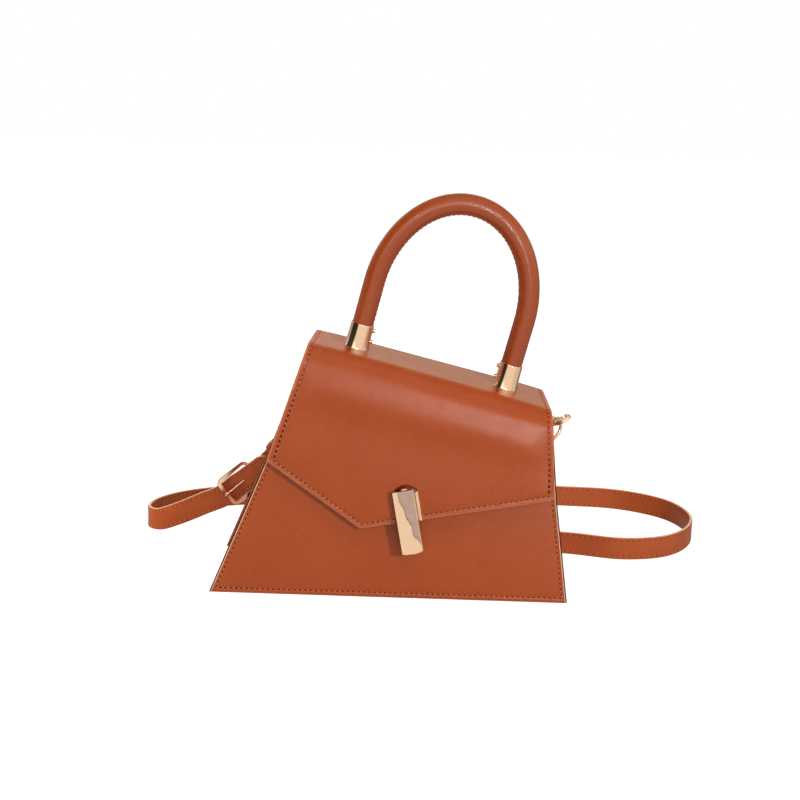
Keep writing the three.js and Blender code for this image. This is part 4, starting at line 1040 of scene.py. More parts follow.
def add_sleeve():
    points, stitch_line, stitch_up = [], [], []
    stations = handle_stations()
    for k, (place, inside, ahead) in enumerate(stations):
        side = np.cross(ahead, inside)
        for turn, out in enumerate(circle(inside, side, SLEEVE_SIDES)):
            from_seam = 2 * math.pi * min(turn, SLEEVE_SIDES - turn) / SLEEVE_SIDES
            seam = SLEEVE_SEAM * math.exp(-((from_seam / SLEEVE_SEAM_ANGLE) ** 2))
            pucker = PUCKER * math.sin(k * PUCKER_TURN) * math.exp(-((from_seam / PUCKER_ANGLE) ** 2))
            points.append(place + out * (SLEEVE_RADIUS - seam + pucker))
        nearer = np.array([0, -1, 0])
        out = inside * math.cos(SLEEVE_STITCH_ANGLE) + nearer * math.sin(SLEEVE_STITCH_ANGLE)
        stitch_line.append(place + out * SLEEVE_RADIUS)
        stitch_up.append(out)
    sleeve = make_piece(
        "handle_sleeve_leather", points, ring_faces(len(stations), SLEEVE_SIDES), [HANDLE_LEATHER_SHADED]
    )
    fix(sleeve, "flap", "leather", "handle_sleeve")
    line, up = (np.array(run[HIDDEN_STATIONS:-HIDDEN_STATIONS]) for run in (stitch_line, stitch_up))
    seam = sew("handle_stitches", line, up, SLEEVE_STITCH_PITCH, 0.0005, hole=0.0007)
    fix(seam, "flap", "leather")


def foamed_cord(name):
    """Foamed plastic with small closed cells."""
    made, tree = new_material(name)
    cells = texture(tree, "ShaderNodeTexVoronoi", {"Scale": 1800.0})
    return finish(made, {
        "Base Color": mixed(tree, cells["Distance"], FOAM_SHADE, FOAM_WHITE),
        "Roughness": 0.85,
    })


def turned(name, profile, origin, axis, material, sides=56):
    """A round part from a closed profile of radius and height along an axis."""
    axis = unit(np.array(axis))
    spare = np.array([0, 1, 0]) if abs(axis[1]) < 0.9 else np.array([1, 0, 0])
    first = unit(spare - axis * np.dot(spare, axis))
    points = []
    for out in circle(first, np.cross(axis, first), sides):
        points += [origin + out * radius + axis * height for radius, height in reversed(profile)]
    return make_piece(name, points, ring_faces(sides, len(profile), closed=True), [material])


def ferrule_radius(height):
    return lerp(FERRULE_RADIUS, FERRULE_FOOT, (1 - height / FERRULE_HEIGHT) ** 3)


def add_ferrule(side, sign):
    bore = SLEEVE_RADIUS + 0.0001
    top = FERRULE_HEIGHT
    soft = FERRULE_SOFT
    wall = [(ferrule_radius(height), height) for height in np.linspace(2 * soft, top - 3 * soft, 12)]
    profile = [
        (BOLT_HOLE, 0), (FERRULE_FOOT - 2 * soft, 0), (FERRULE_FOOT - soft, 0.3 * soft), (FERRULE_FOOT, soft),
        *wall, (FERRULE_RADIUS, top - 2 * soft), (FERRULE_RADIUS - soft, top), (bore + soft, top),
        (bore, top - soft), (bore, FERRULE_FLOOR), (BOLT_HOLE, FERRULE_FLOOR),
    ]
    seat = on_top(sign * HANDLE_HALF_SPAN, FERRULE_SEAT)
    cup = turned(f"ferrule_{side}_cup", profile, seat, OFF_TOP, GOLD)
    fix(cup, "flap", "gold_metal", f"ferrule_{side}")
    r = SCREW_RADIUS
    head = SCREW_OUT
    screw_profile = [
        (PIN_POINT, 0), (r, 0), (r, head * 0.3), (r * 0.8, head * 0.38), (r * 0.8, head * 0.46),
        (r, head * 0.54), (r, head * 0.86), (r * 0.82, head), (r * 0.5, head), (r * 0.45, head * 0.7),
        (PIN_POINT, head * 0.7),
    ]
    inward = -sign * ALONG_TOP
    for place, share in SCREW_SHARES.items():
        origin = seat + share * FERRULE_HEIGHT * OFF_TOP + inward * (FERRULE_RADIUS - 0.0001)
        name = f"ferrule_screw_{side}_{place}"
        screw = turned(name + "_gold", screw_profile, origin, inward, GOLD, 20)
        fix(screw, "flap", "gold_metal", name)


add_sleeve()
coat_solid("handle_core", foamed_cord("foamed_cord"))
add_ferrule("left", -1)
add_ferrule("right", 1)

# Hasp: a bevelled gold block bolted through the flap, and a long flat plate on it whose lower half reaches
# over the slanted edge. Both lean a little to the left.
HASP_X = 0.0106
HASP_Z = 0.0517
HASP_TILT = math.radians(11.3)
BLOCK_HALF = 0.0082
BLOCK_SHIFT = 0.0013
BLOCK_FOOT = -0.0015
BLOCK_TOP = 0.0187
BLOCK_CROWN = 0.0041
BLOCK_BEVEL = 0.0024
BLOCK_FOOT_BEVEL = 0.0012
BLOCK_SHOULDER = 0.0021
BLOCK_GROOVE = 0.7
CROWN_STEEP = 1.54
BLOCK_FLOOR = 0.0003
BLOCK_ROOF = 0.0037
PLATE_HALF = 0.0069
PLATE_END = 0.02
PLATE_SAG = 0.0013
PLATE_BEVEL = 0.0005
PLATE_UNDER_BEVEL = 0.0003
PLATE_FLOOR = 0.004
PLATE_ROOF = 0.0062
HASP_ORIGIN = on_front(HASP_X, HASP_Z, FLAP_OUT)
HASP_RIGHT = math.cos(HASP_TILT) * np.array([1.0, 0, 0]) + math.sin(HASP_TILT) * FRONT_UP
HASP_UP = math.cos(HASP_TILT) * FRONT_UP - math.sin(HASP_TILT) * np.array([1.0, 0, 0])


def hasp_outline(half, foot, top, sag, crown, shift=0.0):
    """An oblong whose foot sags and whose top is crowned, anticlockwise from the lower left."""
    shares = [-1 + 2 * k / 24 for k in range(25)]
    outline = [(shift + share * half, foot - sag * (1 - share**2)) for share in shares]
    outline += [(shift + share * half, top + crown * (1 - share**2)) for share in reversed(shares)]
    return outline


def bevelled(name, outlines, heights, metals, marks=None):
    """A casting from outlines stacked at rising heights, with crisp bevels. marks gives each face's metal."""
    points = []
    for outline, height in zip(outlines, heights):
        points += [HASP_ORIGIN + a * HASP_RIGHT + b * HASP_UP + height * FRONT_NORMAL for a, b in outline]
    faces = ring_faces(len(outlines), len(outlines[0]))
    return make_piece(name, points, faces, metals, marks, smooth=False)


def block_outline(bevel, foot_bevel, height):
    """The block's outline at a height. Its crowned top end slopes back all the way up."""
    top = BLOCK_TOP - (height - BLOCK_FLOOR) / CROWN_STEEP
    return hasp_outline(BLOCK_HALF - bevel, BLOCK_FOOT + foot_bevel, top, 0, BLOCK_CROWN, BLOCK_SHIFT)


def add_hasp():
    wide = block_outline(0, 0, BLOCK_FLOOR)
    shoulder = block_outline(0, 0, BLOCK_SHOULDER)
    slim = block_outline(BLOCK_BEVEL, BLOCK_FOOT_BEVEL, BLOCK_ROOF)
    groove = [lerp(np.array(a), np.array(b), BLOCK_GROOVE) for a, b in zip(shoulder, slim)]
    heights = [BLOCK_FLOOR, BLOCK_SHOULDER, lerp(BLOCK_SHOULDER, BLOCK_ROOF, BLOCK_GROOVE), BLOCK_ROOF]
    count = len(wide)
    # The block's crown faces and its innermost ring of bevel faces, next to the plate, take the darker
    # plating: painted shade and a painted dark reflection.
    crown = [1 if count / 2 - 1 < i < count - 1 else 0 for i in range(count)]
    marks = crown * 2 + [1] * count + [0, 0]
    block = bevelled("hasp_block_gold", [wide, shoulder, groove, slim], heights, [GOLD, GOLD_PAINTED_SHADE], marks)
    fix(block, "flap", "gold_metal", "hasp_block")
    full = hasp_outline(PLATE_HALF, -PLATE_END, PLATE_END, PLATE_SAG, 0)
    end = PLATE_END - PLATE_BEVEL
    shy = hasp_outline(PLATE_HALF - PLATE_BEVEL, -end, end, PLATE_SAG, 0)
    heights = [PLATE_FLOOR, PLATE_FLOOR + PLATE_UNDER_BEVEL, PLATE_ROOF - PLATE_BEVEL, PLATE_ROOF]
    plate = bevelled("hasp_plate_gold", [shy, full, full, shy], heights, [GOLD_MIRROR])
    fix(plate, "flap", "gold_metal", "hasp_plate")


add_hasp()

# Grey card: a torn sheet held close in front of the hasp, out of the picture, whose edge is mirrored in the
# plate. A darker sheet behind it shows as a thin rim.
CARD_AWAY = 0.12
CARD_GREY = tone(196, 186, 182)
RIM_BROWN = tone(110, 96, 78)
CARD_EDGE = [
    (-0.0028, 0.02), (-0.0024, 0.0133), (-0.0003, 0.0078), (0.0, 0.0032), (0.0026, -0.0031),
    (0.0027, -0.0089), (0.0057, -0.0126), (0.0071, -0.016), (0.0095, -0.0175), (0.0095, 0.026),
    (-0.0028, 0.026),
]


def hang_card(name, rim, away, colour):
    corners = []
    for across, up in CARD_EDGE:
        place = HASP_ORIGIN + (across - rim) * HASP_RIGHT + (up - rim) * HASP_UP + PLATE_ROOF * FRONT_NORMAL
        sight = unit(place - np.array(CAMERA_PLACE))
        bounce = sight - 2 * np.dot(sight, FRONT_NORMAL) * FRONT_NORMAL
        corners.append(place + bounce * away)
    paper, tree = new_material(name)
    tree.nodes.clear()
    dull = put(tree, "ShaderNodeEmission", {"Color": colour, "Strength": 1.0})
    put(tree, "ShaderNodeOutputMaterial", {"Surface": dull.outputs[0]})
    card = make_piece(name, corners, [list(range(len(corners)))], [paper])
    card.visible_camera = False
    card.visible_diffuse = False
    card.visible_shadow = False
    card.visible_transmission = False


hang_card("grey_card", 0.0, CARD_AWAY, CARD_GREY)
hang_card("card_rim", 0.0004, CARD_AWAY + 0.002, RIM_BROWN)

# Strap tabs and rings: a leather loop riveted to the back panel near each side edge holds a D-shaped ring of
# gold wire that swings in it.
TAB_LENGTH = 0.022
TAB_WIDTH = 0.0096
TAB_SHEET = 0.0016
TAB_SEAT = 0.0003
TAB_RIVET = 0.013
RIVET_HEAD = 0.0028
RING_WIRE = 0.0012
RING_LIFT = 0.0035
RING_HALF = 0.0086
RING_REACH = 0.0156
RING_SHOULDER = (0.88 * RING_REACH, 0.0046)
RING_SIDE = 0.0078
RING_SWING = {"left": math.radians(22), "right": math.radians(42)}
LEFT_TAB_Z = 0.084
LEFT_TAB_INSET = 0.0165
RIGHT_TAB_Z = 0.0915
RIGHT_TAB_INSET = -0.0006
TAB_PLACE = {
    "left": (left_x(LEFT_TAB_Z) + LEFT_TAB_INSET, LEFT_TAB_Z, -1),
    "right": (right_x(RIGHT_TAB_Z) - RIGHT_TAB_INSET, RIGHT_TAB_Z, 1),
}
# The straps, tabs and keeper use a lighter copy of the body's leather: painted light that lifts them where
# the bag shades the strap.
STRAP_TAN_LIT = tone(182, 84, 36)
STRAP_TAN_DEEP_LIT = tone(174, 77, 31)
STRAP_EDGE_MARKS = [0, 0.00012, 0.0003, 0.0006, 0.001, 0.0016, 0.0022, 0.0028, 0.004]


def curve_through(knots, count, closed=False):
    """Even samples of a centripetal Catmull-Rom curve through the knots."""
    knots = np.array(knots, float)
    total = len(knots)
    spans = total if closed else total - 1
    samples = []
    for k in range(count if closed else count + 1):
        place = spans * k / count
        i = min(int(place), spans - 1)
        t = place - i
        p1, p2 = knots[i], knots[(i + 1) % total]
        p0 = knots[(i - 1) % total] if closed or i > 0 else 2 * p1 - p2
        p3 = knots[(i + 2) % total] if closed or i + 2 < total else 2 * p2 - p1
        d0, d1, d2 = (max(np.linalg.norm(b - a) ** 0.5, 1e-6) for a, b in ((p0, p1), (p1, p2), (p2, p3)))
        m1 = ((p1 - p0) / d0 - (p2 - p0) / (d0 + d1) + (p2 - p1) / d1) * d1
        m2 = ((p2 - p1) / d1 - (p3 - p1) / (d1 + d2) + (p3 - p2) / d2) * d1
        lead = 2 * p1 - 2 * p2 + m1 + m2
        bend = -3 * p1 + 3 * p2 - 2 * m1 - m2
        samples.append(p1 + m1 * t + bend * t**2 + lead * t**3)
    return np.array(samples)


def line_ways(line, closed=False):
    """Unit directions along a line."""
    if closed:
        return unit(np.roll(line, -1, axis=0) - np.roll(line, 1, axis=0))
    return unit(np.gradient(line, axis=0))


def wire(name, line, radius, closed=False, sides=18):
    """A round gold wire along a line of points."""
    ways = line_ways(line, closed)
    spare = np.array([0, 0, 1.0]) if abs(ways[0][2]) < 0.9 else np.array([1.0, 0, 0])
    points = []
    for place, way in zip(line, ways):
        spare = unit(spare - way * np.dot(spare, way))
        points += [place + radius * out for out in circle(spare, np.cross(way, spare), sides)]
    return make_piece(name, points, ring_faces(len(line), sides, closed), [GOLD])


def flat_bar(name, line, flat_way, half_wide, half_deep, metal, closed=False):
    """A gold bar of oblong section with small bevels. half_wide, one per point, lies in the bar's plane."""
    bevel = 0.0003
    points = []
    for place, way, wide in zip(line, line_ways(line, closed), half_wide):
        side = unit(np.cross(flat_way, way))
        for turn_wide, turn_deep in ((1, 1), (-1, 1), (-1, -1), (1, -1)):
            near = (turn_wide * (wide - bevel), turn_deep * half_deep)
            far = (turn_wide * wide, turn_deep * (half_deep - bevel))
            pair = (far, near) if turn_wide * turn_deep > 0 else (near, far)
            points += [place + side * a + flat_way * b for a, b in pair]
    return make_piece(name, points, ring_faces(len(line), 8, closed), [metal], smooth=False)


# A lighter copy of the body's leather: painted light for the straps, tabs and keeper.
STRAP_LEATHER_LIT = tan_leather("strap_leather_lit", STRAP_TAN_LIT, STRAP_TAN_DEEP_LIT, 0.32)
# Strap, tab and keeper edges take the pale colour, a painted highlight along them.
STRAP_MATERIALS = [STRAP_LEATHER_LIT, PAINTED_HIGHLIGHT_EDGE]
STRAP_SEAM = 0.0022
STRAP_GROOVE = 0.00016
STRAP_GROOVE_WIDE = 0.0005
STRAP_PAINTED = 0.0004


def ribbon(name, line, across, width, thick, sewn=False, closed=False, tip=0.0):
    """A flat leather band along a line. Returns the piece, the directions across it and out of its face."""
    ways = line_ways(line, closed)
    wide = unit(across - ways * np.sum(across * ways, axis=1, keepdims=True))
    face = np.cross(ways, wide)
    half = width / 2
    rounding = 0.42 * thick
    marks = [m for m in STRAP_EDGE_MARKS if m < half * 0.8]
    distances = marks + [half] + marks[::-1]
    places = [-half + m for m in marks] + [0.0] + [half - m for m in reversed(marks)]
    section, painted = [], []
    for sign in (1, -1):
        for place, distance in list(zip(places, distances))[::sign]:
            drop = rounding - math.sqrt(rounding**2 - (rounding - min(distance, rounding)) ** 2)
            if sewn:
                drop += STRAP_GROOVE * math.exp(-(((distance - STRAP_SEAM) / STRAP_GROOVE_WIDE) ** 2))
            section.append((place, sign * (thick / 2 - drop)))
            painted.append(distance < STRAP_PAINTED)
    lengths = np.pad(np.cumsum(np.linalg.norm(np.diff(line, axis=0), axis=1)), (1, 0))
    points = []
    for k, place in enumerate(line):
        short = max(0.0, tip - lengths[k]) / tip if tip else 0.0
        narrow = max(0.05, math.sqrt(1 - short**2))
        points += [place + wide[k] * w * narrow + face[k] * h for w, h in section]
    count = len(section)
    faces = ring_faces(len(line), count, closed)
    loop_marks = [1 if painted[i] and painted[(i + 1) % count] else 0 for i in range(count)]
    face_marks = loop_marks * (len(faces) // count) + ([] if closed else [1, 1])
    return make_piece(name, points, faces, STRAP_MATERIALS, face_marks), wide, face


def tab_point(side, out, up, raised):
    x, z, outward = TAB_PLACE[side]
    return on_back(x, z, 0) + outward * out * np.array([1.0, 0, 0]) + up * BACK_UP + raised * BACK_NORMAL


def ring_point(side, reach, up):
    swing = RING_SWING[side]
    return tab_point(side, reach * math.cos(swing), up, RING_LIFT + reach * math.sin(swing))


def domed_rivet(name, origin, axis):
    r = RIVET_HEAD
    profile = [
        (PIN_POINT, -0.003), (0.0011, -0.003), (0.0011, 0), (r, 0), (r, 0.0003), (r * 0.9, 0.0007),
        (r * 0.6, 0.001), (r * 0.3, 0.0011), (PIN_POINT, 0.0012),
    ]
    return turned(name, profile, origin, axis, GOLD, 32)


def add_tab(side):
    bend = RING_WIRE + 0.0004 + TAB_SHEET / 2
    low = TAB_SEAT + TAB_SHEET / 2
    high = TAB_SEAT + 1.5 * TAB_SHEET
    line = [(-TAB_LENGTH + k * (TAB_LENGTH - 0.003) / 10, low) for k in range(10)]
    for k in range(25):
        angle = -math.pi / 2 + math.pi * 1.36 * k / 24
        line.append((bend * math.cos(angle), RING_LIFT + bend * math.sin(angle)))
    start = line[-1][0] - 0.002
    line += [(lerp(start, -TAB_LENGTH, k / 8), lerp(high + 0.0008, high, min(1, k / 2))) for k in range(9)]
    path = np.array([tab_point(side, out, 0, raised) for out, raised in line])
    loop = ribbon(f"tab_{side}_leather", path, BACK_UP, TAB_WIDTH, TAB_SHEET * 0.94)[0]
    fix(loop, "bag", "leather", f"tab_{side}")
    head = tab_point(side, -TAB_RIVET, 0, TAB_SEAT + 2 * TAB_SHEET + 0.0001)
    fix(domed_rivet(f"tab_rivet_{side}_gold", head, BACK_NORMAL), "bag", "gold_metal", f"tab_rivet_{side}")


def add_ring(side):
    shape = [
        (0, -0.006), (0, -0.002), (0, 0.002), (0, 0.006), (0.002, RING_HALF), (0.55 * RING_REACH, RING_SIDE),
        RING_SHOULDER, (RING_REACH, 0), (RING_SHOULDER[0], -RING_SHOULDER[1]),
        (0.55 * RING_REACH, -RING_SIDE), (0.002, -RING_HALF),
    ]
    line = curve_through([ring_point(side, reach, up) for reach, up in shape], 110, closed=True)
    ring = wire(f"ring_{side}_gold", line, RING_WIRE, closed=True)
    fix(ring, f"{side}_ring", "gold_metal", f"ring_{side}")


for tab_side in ("left", "right"):
    add_tab(tab_side)
    add_ring(tab_side)

# Snap hook: a gold claw round the right ring, closed by a sprung gate with a thumb lever, on a barrel neck
# with a flat eye that the strap is folded through.
CLAW_RADIUS = 0.005
CLAW_HANG = -0.0022
CLAW_WIRE = 0.0012
CLAW_TIP = 118
GATE_PIVOT = 38
GATE_END = CLAW_TIP - 26
GATE_WIRE = 0.0011
LEVER_FOOT = 62
LEVER_TIP = (0.0034, 0.0092)
LEVER_WIRE = 0.0009
NECK_RADIUS = 0.0023
NECK_WAIST = 0.0019
NECK_START = CLAW_RADIUS - 0.0004
EYE_START = NECK_START + 0.009
EYE_HALF = 0.009
EYE_BAR = EYE_START + 0.0065
EYE_WIRE = 0.0012
HOOK_AXIS = unit(np.array([-0.86, 0.16, -0.48]))
HOOK_CENTRE = ring_point("right", *RING_SHOULDER) + CLAW_HANG * HOOK_AXIS
EYE_ALONG = unit(np.cross(HOOK_AXIS, np.array([0, 1.0, 0])))
CLAW_SIDE = unit(np.cross(EYE_ALONG, HOOK_AXIS))


def hook_point(along, side):
    return HOOK_CENTRE + along * HOOK_AXIS + side * CLAW_SIDE


def claw_point(degrees):
    angle = math.radians(degrees)
    return hook_point(CLAW_RADIUS * math.cos(angle), CLAW_RADIUS * math.sin(angle))


def eye_point(along, across):
    return hook_point(along, 0) + across * EYE_ALONG


def straight(start, end):
    """Seven points from one place to another."""
    return np.array([lerp(start, end, k / 6) for k in range(7)])


def add_hook():
    claw = np.array([claw_point(degrees) for degrees in np.linspace(0, CLAW_TIP - 360, 60)])
    half_wide = [CLAW_WIRE] * len(claw)
    body = flat_bar("hook_claw_gold", claw, EYE_ALONG, half_wide, CLAW_WIRE + 0.0002, GOLD_SATIN)
    fix(body, "right_ring", "gold_metal", "hook_body")
    long = EYE_START - NECK_START
    wide, waist = NECK_RADIUS, NECK_WAIST
    profile = [
        (PIN_POINT, 0), (waist, 0), (wide, 0.0004), (wide, 0.0022), (waist, 0.0026), (waist, 0.0031),
        (wide, 0.0035), (wide, long - 0.0004), (waist, long), (PIN_POINT, long),
    ]
    neck = turned("hook_neck_gold", profile, hook_point(NECK_START, 0), HOOK_AXIS, GOLD, 36)
    fix(neck, "right_ring", "gold_metal")
    half_eye = [
        (EYE_START, EYE_HALF * 0.6), (EYE_START + 0.0016, EYE_HALF), (EYE_BAR - 0.001, EYE_HALF),
        (EYE_BAR, EYE_HALF - 0.001),
    ]
    other_half = [(along, -across) for along, across in reversed(half_eye)]
    knots = [(EYE_START - 0.0006, 0), *half_eye, (EYE_BAR, 0), *other_half]
    line = curve_through([eye_point(along, across) for along, across in knots], 90, closed=True)
    eye = wire("hook_eye_gold", line, EYE_WIRE, closed=True)
    fix(eye, "right_ring", "gold_metal")
    gate = wire("hook_gate_gold", straight(claw_point(GATE_PIVOT), claw_point(GATE_END)), GATE_WIRE)
    fix(gate, "hook_gate", "gold_metal", "hook_gate")
    lever = wire("hook_lever_gold", straight(claw_point(LEVER_FOOT), hook_point(*LEVER_TIP)), LEVER_WIRE)
    fix(lever, "hook_gate", "gold_metal")
    return [body, neck, eye, gate, lever]


hook_pieces = add_hook()

# Long strap: a sixteen millimetre leather band with a stitched row along both edges, standing on its edge on
# the floor. It runs from the buckle round behind the bag in an open loop, back behind the body and up to the
# hook's eye.
STRAP_WIDTH = 0.016
STRAP_THICK = 0.0024
STRAP_TIP = 0.008
STRAP_PITCH = 0.0042
STRAP_SAMPLES = 440
FLOOR_LINE = 0.0083
EYE_MIDDLE = eye_point(EYE_BAR, 0)
STRAP_END = EYE_MIDDLE + 0.011 * HOOK_AXIS
STRAP_ROUTE = [
    (-0.0837, 0.0422, 0.0645), (-0.0966, 0.0443, 0.0537), (-0.1058, 0.046, 0.0462),
    (-0.1179, 0.0483, 0.0361), (-0.131, 0.053, 0.029), (-0.1491, 0.0595, 0.0192),
    (-0.1653, 0.0674, 0.0115), (-0.175, 0.0816, 0.0091), (-0.1733, 0.1016, FLOOR_LINE),
    (-0.1587, 0.122, FLOOR_LINE), (-0.1332, 0.1381, FLOOR_LINE), (-0.081, 0.155, FLOOR_LINE),
    (0.0234, 0.1693, FLOOR_LINE), (0.1338, 0.1713, FLOOR_LINE), (0.1787, 0.1656, FLOOR_LINE),
    (0.2105, 0.1424, FLOOR_LINE), (0.2213, 0.1074, FLOOR_LINE), (0.2131, 0.0745, FLOOR_LINE),
    (0.1929, 0.0519, FLOOR_LINE), (0.1635, 0.0438, FLOOR_LINE), (0.1272, 0.0522, FLOOR_LINE),
    (0.0724, 0.0599, FLOOR_LINE), (0.0107, 0.0583, FLOOR_LINE), (-0.045, 0.057, FLOOR_LINE),
    (-0.074, 0.064, FLOOR_LINE), (-0.085, 0.082, FLOOR_LINE), (-0.074, 0.098, FLOOR_LINE),
    (-0.044, 0.102, 0.0103), (-0.012, 0.094, 0.0193), (0.02, 0.078, 0.034), (0.05, 0.061, 0.057),
    tuple(STRAP_END),
]
STRAP_ACROSS = [
    *[(-0.64, 0, 0.77)] * 3, (-0.5, 0, 0.86), (-0.4, 0, 0.92), (-0.3, 0, 0.95), (-0.16, 0, 0.98),
    *[(0, 0, 1)] * 20, (-0.08, 0, 1), (-0.28, 0, 0.96), (-0.42, 0, 0.9), *[(-0.48, 0, 0.87)] * 2,
]
BUCKLE_AT = 2


def towards_hook(piece, slot, *nodes):
    """Bakes the placing of a piece of the strap's last stretch into its mesh and hides the solids that it
    stands for.
    """
    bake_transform(piece)
    dress(nodes)


def add_strap():
    line = curve_through(STRAP_ROUTE, STRAP_SAMPLES)
    across = curve_through(STRAP_ACROSS, STRAP_SAMPLES)
    band, wide, face = ribbon(
        "strap_long_leather", line, across, STRAP_WIDTH, STRAP_THICK, sewn=True, tip=STRAP_TIP
    )
    towards_hook(band, "leather", "strap_long")
    rise = STRAP_THICK / 2 - 0.00014
    inside = STRAP_WIDTH / 2 - STRAP_SEAM
    for face_name, out in (("outer", 1), ("inner", -1)):
        for edge_name, edge in (("upper", 1), ("lower", -1)):
            row = line + wide * edge * inside + face * out * rise
            name = f"strap_stitches_{face_name}_{edge_name}"
            seam = sew(name, row[4:], (face * out)[4:], STRAP_PITCH, 0.0006, hole=0.0005)
            towards_hook(seam, "leather")
    return band, line


strap, strap_line = add_strap()

# Strap ends: the long strap is folded through the hook's eye and riveted. The short strap is folded round the
# left ring and the buckle's heel bar, with a leather keeper round it.
EYE_FOLD = 0.0029
FOLD_LENGTH = 0.024
FOLD_SHEET = 0.0012
FOLD_RIVET = 0.013
FOLD_RIVET_OUT = 0.0032
EYE_FACE = np.cross(HOOK_AXIS, EYE_ALONG)
BUCKLE_WIRE = 0.0011
BUCKLE_FLAT = 0.0015
BUCKLE_REACH = 0.011
BUCKLE_HALF = STRAP_WIDTH / 2 + 0.0008 + BUCKLE_WIRE
BUCKLE_CORNER = 0.0032
HEEL_FOLD = BUCKLE_WIRE + 0.0003 + 0.001
BUCKLE_LIFT = STRAP_THICK / 2 + 0.0003 + HEEL_FOLD + 0.0005
PRONG_WIRE = 0.00075
PRONG_HOOK = BUCKLE_WIRE + 0.0003 + PRONG_WIRE
SHORT_WIDTH = 0.0094
RING_FOLD_REACH = 0.0082
RING_FOLD_HALF = RING_WIRE + 0.0028
HEEL_SKEW = 0.0015
KEEPER_SHARE = 0.28
KEEPER_HALF = SHORT_WIDTH / 2 + 0.0009
KEEPER_DEEP = 0.0045
KEEPER_CORNER = 0.0014
KEEPER_WIDTH = 0.006
BUCKLE_MIDDLE = np.array(STRAP_ROUTE[BUCKLE_AT])
BUCKLE_ALONG = unit(np.array(STRAP_ROUTE[BUCKLE_AT - 1]) - np.array(STRAP_ROUTE[BUCKLE_AT + 1]))
ROUTE_ACROSS = np.array(STRAP_ACROSS[BUCKLE_AT])
BUCKLE_ACROSS = unit(ROUTE_ACROSS - BUCKLE_ALONG * np.dot(ROUTE_ACROSS, BUCKLE_ALONG))
BUCKLE_FACE = np.cross(BUCKLE_ALONG, BUCKLE_ACROSS)


def buckle_point(along, across, raised):
    return BUCKLE_MIDDLE + along * BUCKLE_ALONG + across * BUCKLE_ACROSS + raised * BUCKLE_FACE


BUCKLE_HEEL = buckle_point(BUCKLE_REACH, 0, -BUCKLE_LIFT)
RING_FAR = ring_point("left", 0.73 * RING_REACH, -0.00645)
SHORT_AXIS = unit(BUCKLE_HEEL - RING_FAR)
SHORT_ACROSS = unit(BUCKLE_ACROSS - SHORT_AXIS * np.dot(BUCKLE_ACROSS, SHORT_AXIS))
SHORT_FACE = np.cross(SHORT_AXIS, SHORT_ACROSS)
SHORT_LENGTH = np.linalg.norm(BUCKLE_HEEL - RING_FAR)


def short_point(along, across, raised):
    return RING_FAR + along * SHORT_AXIS + across * SHORT_ACROSS + raised * SHORT_FACE


def half_turn(reach, half, steps):
    """Points of a fold round a bar, from one side of it to the other."""
    angles = [math.pi * k / steps for k in range(steps + 1)]
    return [(reach * math.sin(angle), half * math.cos(angle)) for angle in angles]


def other_side(run):
    """The same run on the other side of the middle line, gone back along."""
    return [(along, -raised) for along, raised in reversed(run)]


def add_eye_fold():
    bend = EYE_FOLD - FOLD_SHEET / 2
    waist = FOLD_SHEET / 2 + 0.0013
    under = [(lerp(FOLD_LENGTH, 0.001, k / 14), -lerp(waist, bend, (k / 14) ** 2)) for k in range(15)]
    line = under + half_turn(-bend, -bend, 12) + other_side(under)
    path = np.array([EYE_MIDDLE + along * HOOK_AXIS + raised * EYE_FACE for along, raised in line])
    fold = ribbon("strap_eye_fold", path, EYE_ALONG, STRAP_WIDTH - 0.0006, FOLD_SHEET)[0]
    towards_hook(fold, "leather")
    pieces = [fold]
    for side, sign in (("front", 1), ("back", -1)):
        head = EYE_MIDDLE + FOLD_RIVET * HOOK_AXIS + sign * FOLD_RIVET_OUT * EYE_FACE
        rivet = domed_rivet(f"strap_rivet_{side}_gold", head, sign * EYE_FACE)
        towards_hook(rivet, "gold_metal", "strap_rivet")
        pieces.append(rivet)
    return pieces


def add_short_strap():
    waist = FOLD_SHEET / 2 + 0.0001
    reach = RING_FOLD_REACH - FOLD_SHEET / 2
    half = RING_FOLD_HALF - FOLD_SHEET / 2
    heel = HEEL_FOLD - FOLD_SHEET / 2
    middle = SHORT_LENGTH * 0.5
    top = [(middle * (1 - k / 10), lerp(waist, half, (k / 10) ** 1.6)) for k in range(10)]
    beyond = [(lerp(middle, SHORT_LENGTH, k / 10), -lerp(waist, heel, (k / 10) ** 2)) for k in range(1, 10)]
    bend = [(SHORT_LENGTH + along, raised) for along, raised in half_turn(heel + HEEL_SKEW, -heel, 12)]
    line = top + half_turn(-reach, half, 20) + other_side(top) + beyond + bend + other_side(beyond)
    path = np.array([short_point(along, 0, raised) for along, raised in line])
    piece = ribbon("strap_short_leather", path, SHORT_ACROSS, SHORT_WIDTH, FOLD_SHEET, closed=True)[0]
    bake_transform(piece)
    dress(["strap_short"])
    return piece


def rounded_box(half_a, half_b, corner, steps):
    """The outline of a box with rounded corners, anticlockwise."""
    outline = []
    for sign_a, sign_b, start in ((1, 1, 0), (-1, 1, 90), (-1, -1, 180), (1, -1, 270)):
        for k in range(steps + 1):
            angle = math.radians(start + 90 * k / steps)
            a = sign_a * (half_a - corner) + corner * math.cos(angle)
            b = sign_b * (half_b - corner) + corner * math.sin(angle)
            outline.append((a, b))
    return outline


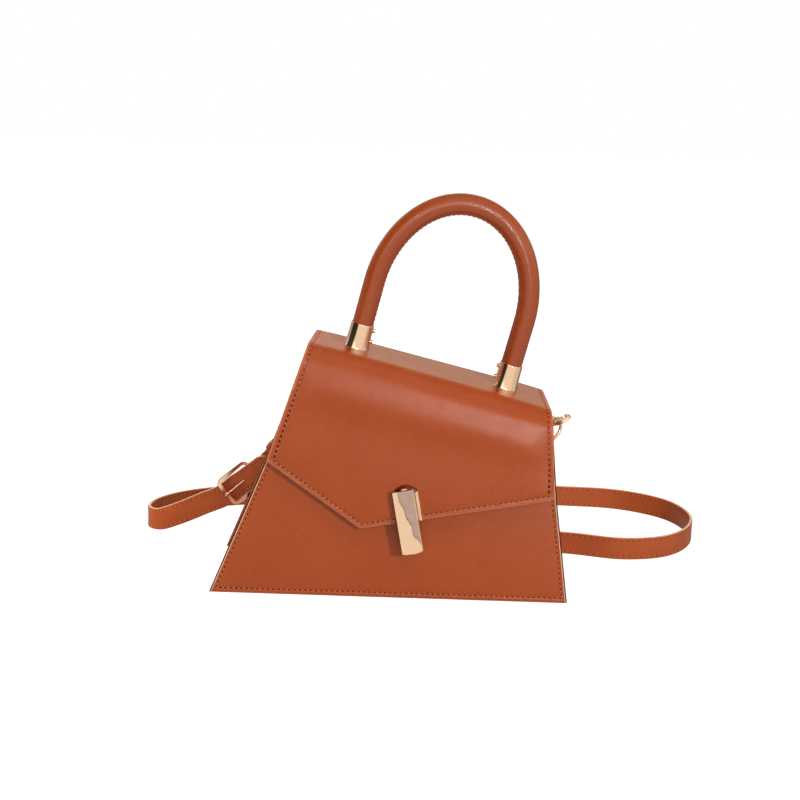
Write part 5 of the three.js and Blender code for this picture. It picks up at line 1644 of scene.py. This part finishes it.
def add_keeper():
    line = rounded_box(KEEPER_HALF, KEEPER_DEEP, KEEPER_CORNER, 6)
    path = np.array([short_point(SHORT_LENGTH * KEEPER_SHARE, a, b) for a, b in line])
    keeper = ribbon("strap_keeper_leather", path, SHORT_AXIS, KEEPER_WIDTH, FOLD_SHEET, closed=True)[0]
    fix(keeper, "bag", "leather", "strap_keeper")
    return keeper


eye_pieces = add_eye_fold()
short_strap = add_short_strap()
keeper_loop = add_keeper()

# Buckle: a rounded frame of gold wire with a thin prong hinged on its heel bar. The strap goes under the toe
# bar.
BUCKLE_DEEP = 0.001
CORNER_STEPS = 8
PRONG_PAST = 0.0016
PRONG_CLEAR = 0.00035


def add_buckle():
    line, half_wide = [], []
    for along, across in rounded_box(BUCKLE_REACH, BUCKLE_HALF, BUCKLE_CORNER, CORNER_STEPS):
        line.append(buckle_point(along, across, -BUCKLE_LIFT * along / BUCKLE_REACH))
        half_wide.append(lerp(BUCKLE_FLAT, BUCKLE_WIRE, min(1.0, max(0.0, along / BUCKLE_REACH) * 1.3)))
    first, second, third = line[0], line[CORNER_STEPS + 1], line[2 * CORNER_STEPS + 2]
    plane = unit(np.cross(first - second, second - third))
    loop = flat_bar("buckle_frame_gold", np.array(line), plane, half_wide, BUCKLE_DEEP, GOLD, closed=True)
    fix(loop, "bag", "gold_metal", "buckle_frame")
    prong_line = []
    for degrees in np.linspace(-110, 90, 24):
        angle = math.radians(degrees)
        along = BUCKLE_REACH + PRONG_HOOK * math.cos(angle)
        prong_line.append(buckle_point(along, 0, -BUCKLE_LIFT + PRONG_HOOK * math.sin(angle)))
    tip = buckle_point(-BUCKLE_REACH - PRONG_PAST, 0, BUCKLE_LIFT + PRONG_HOOK + PRONG_CLEAR)
    prong_line += [lerp(prong_line[-1], tip, k / 8) for k in range(1, 9)]
    prong = wire("buckle_prong_gold", np.array(prong_line), PRONG_WIRE)
    fix(prong, "buckle_prong", "gold_metal", "buckle_prong")
    return loop, prong


buckle_loop, buckle_prong = add_buckle()
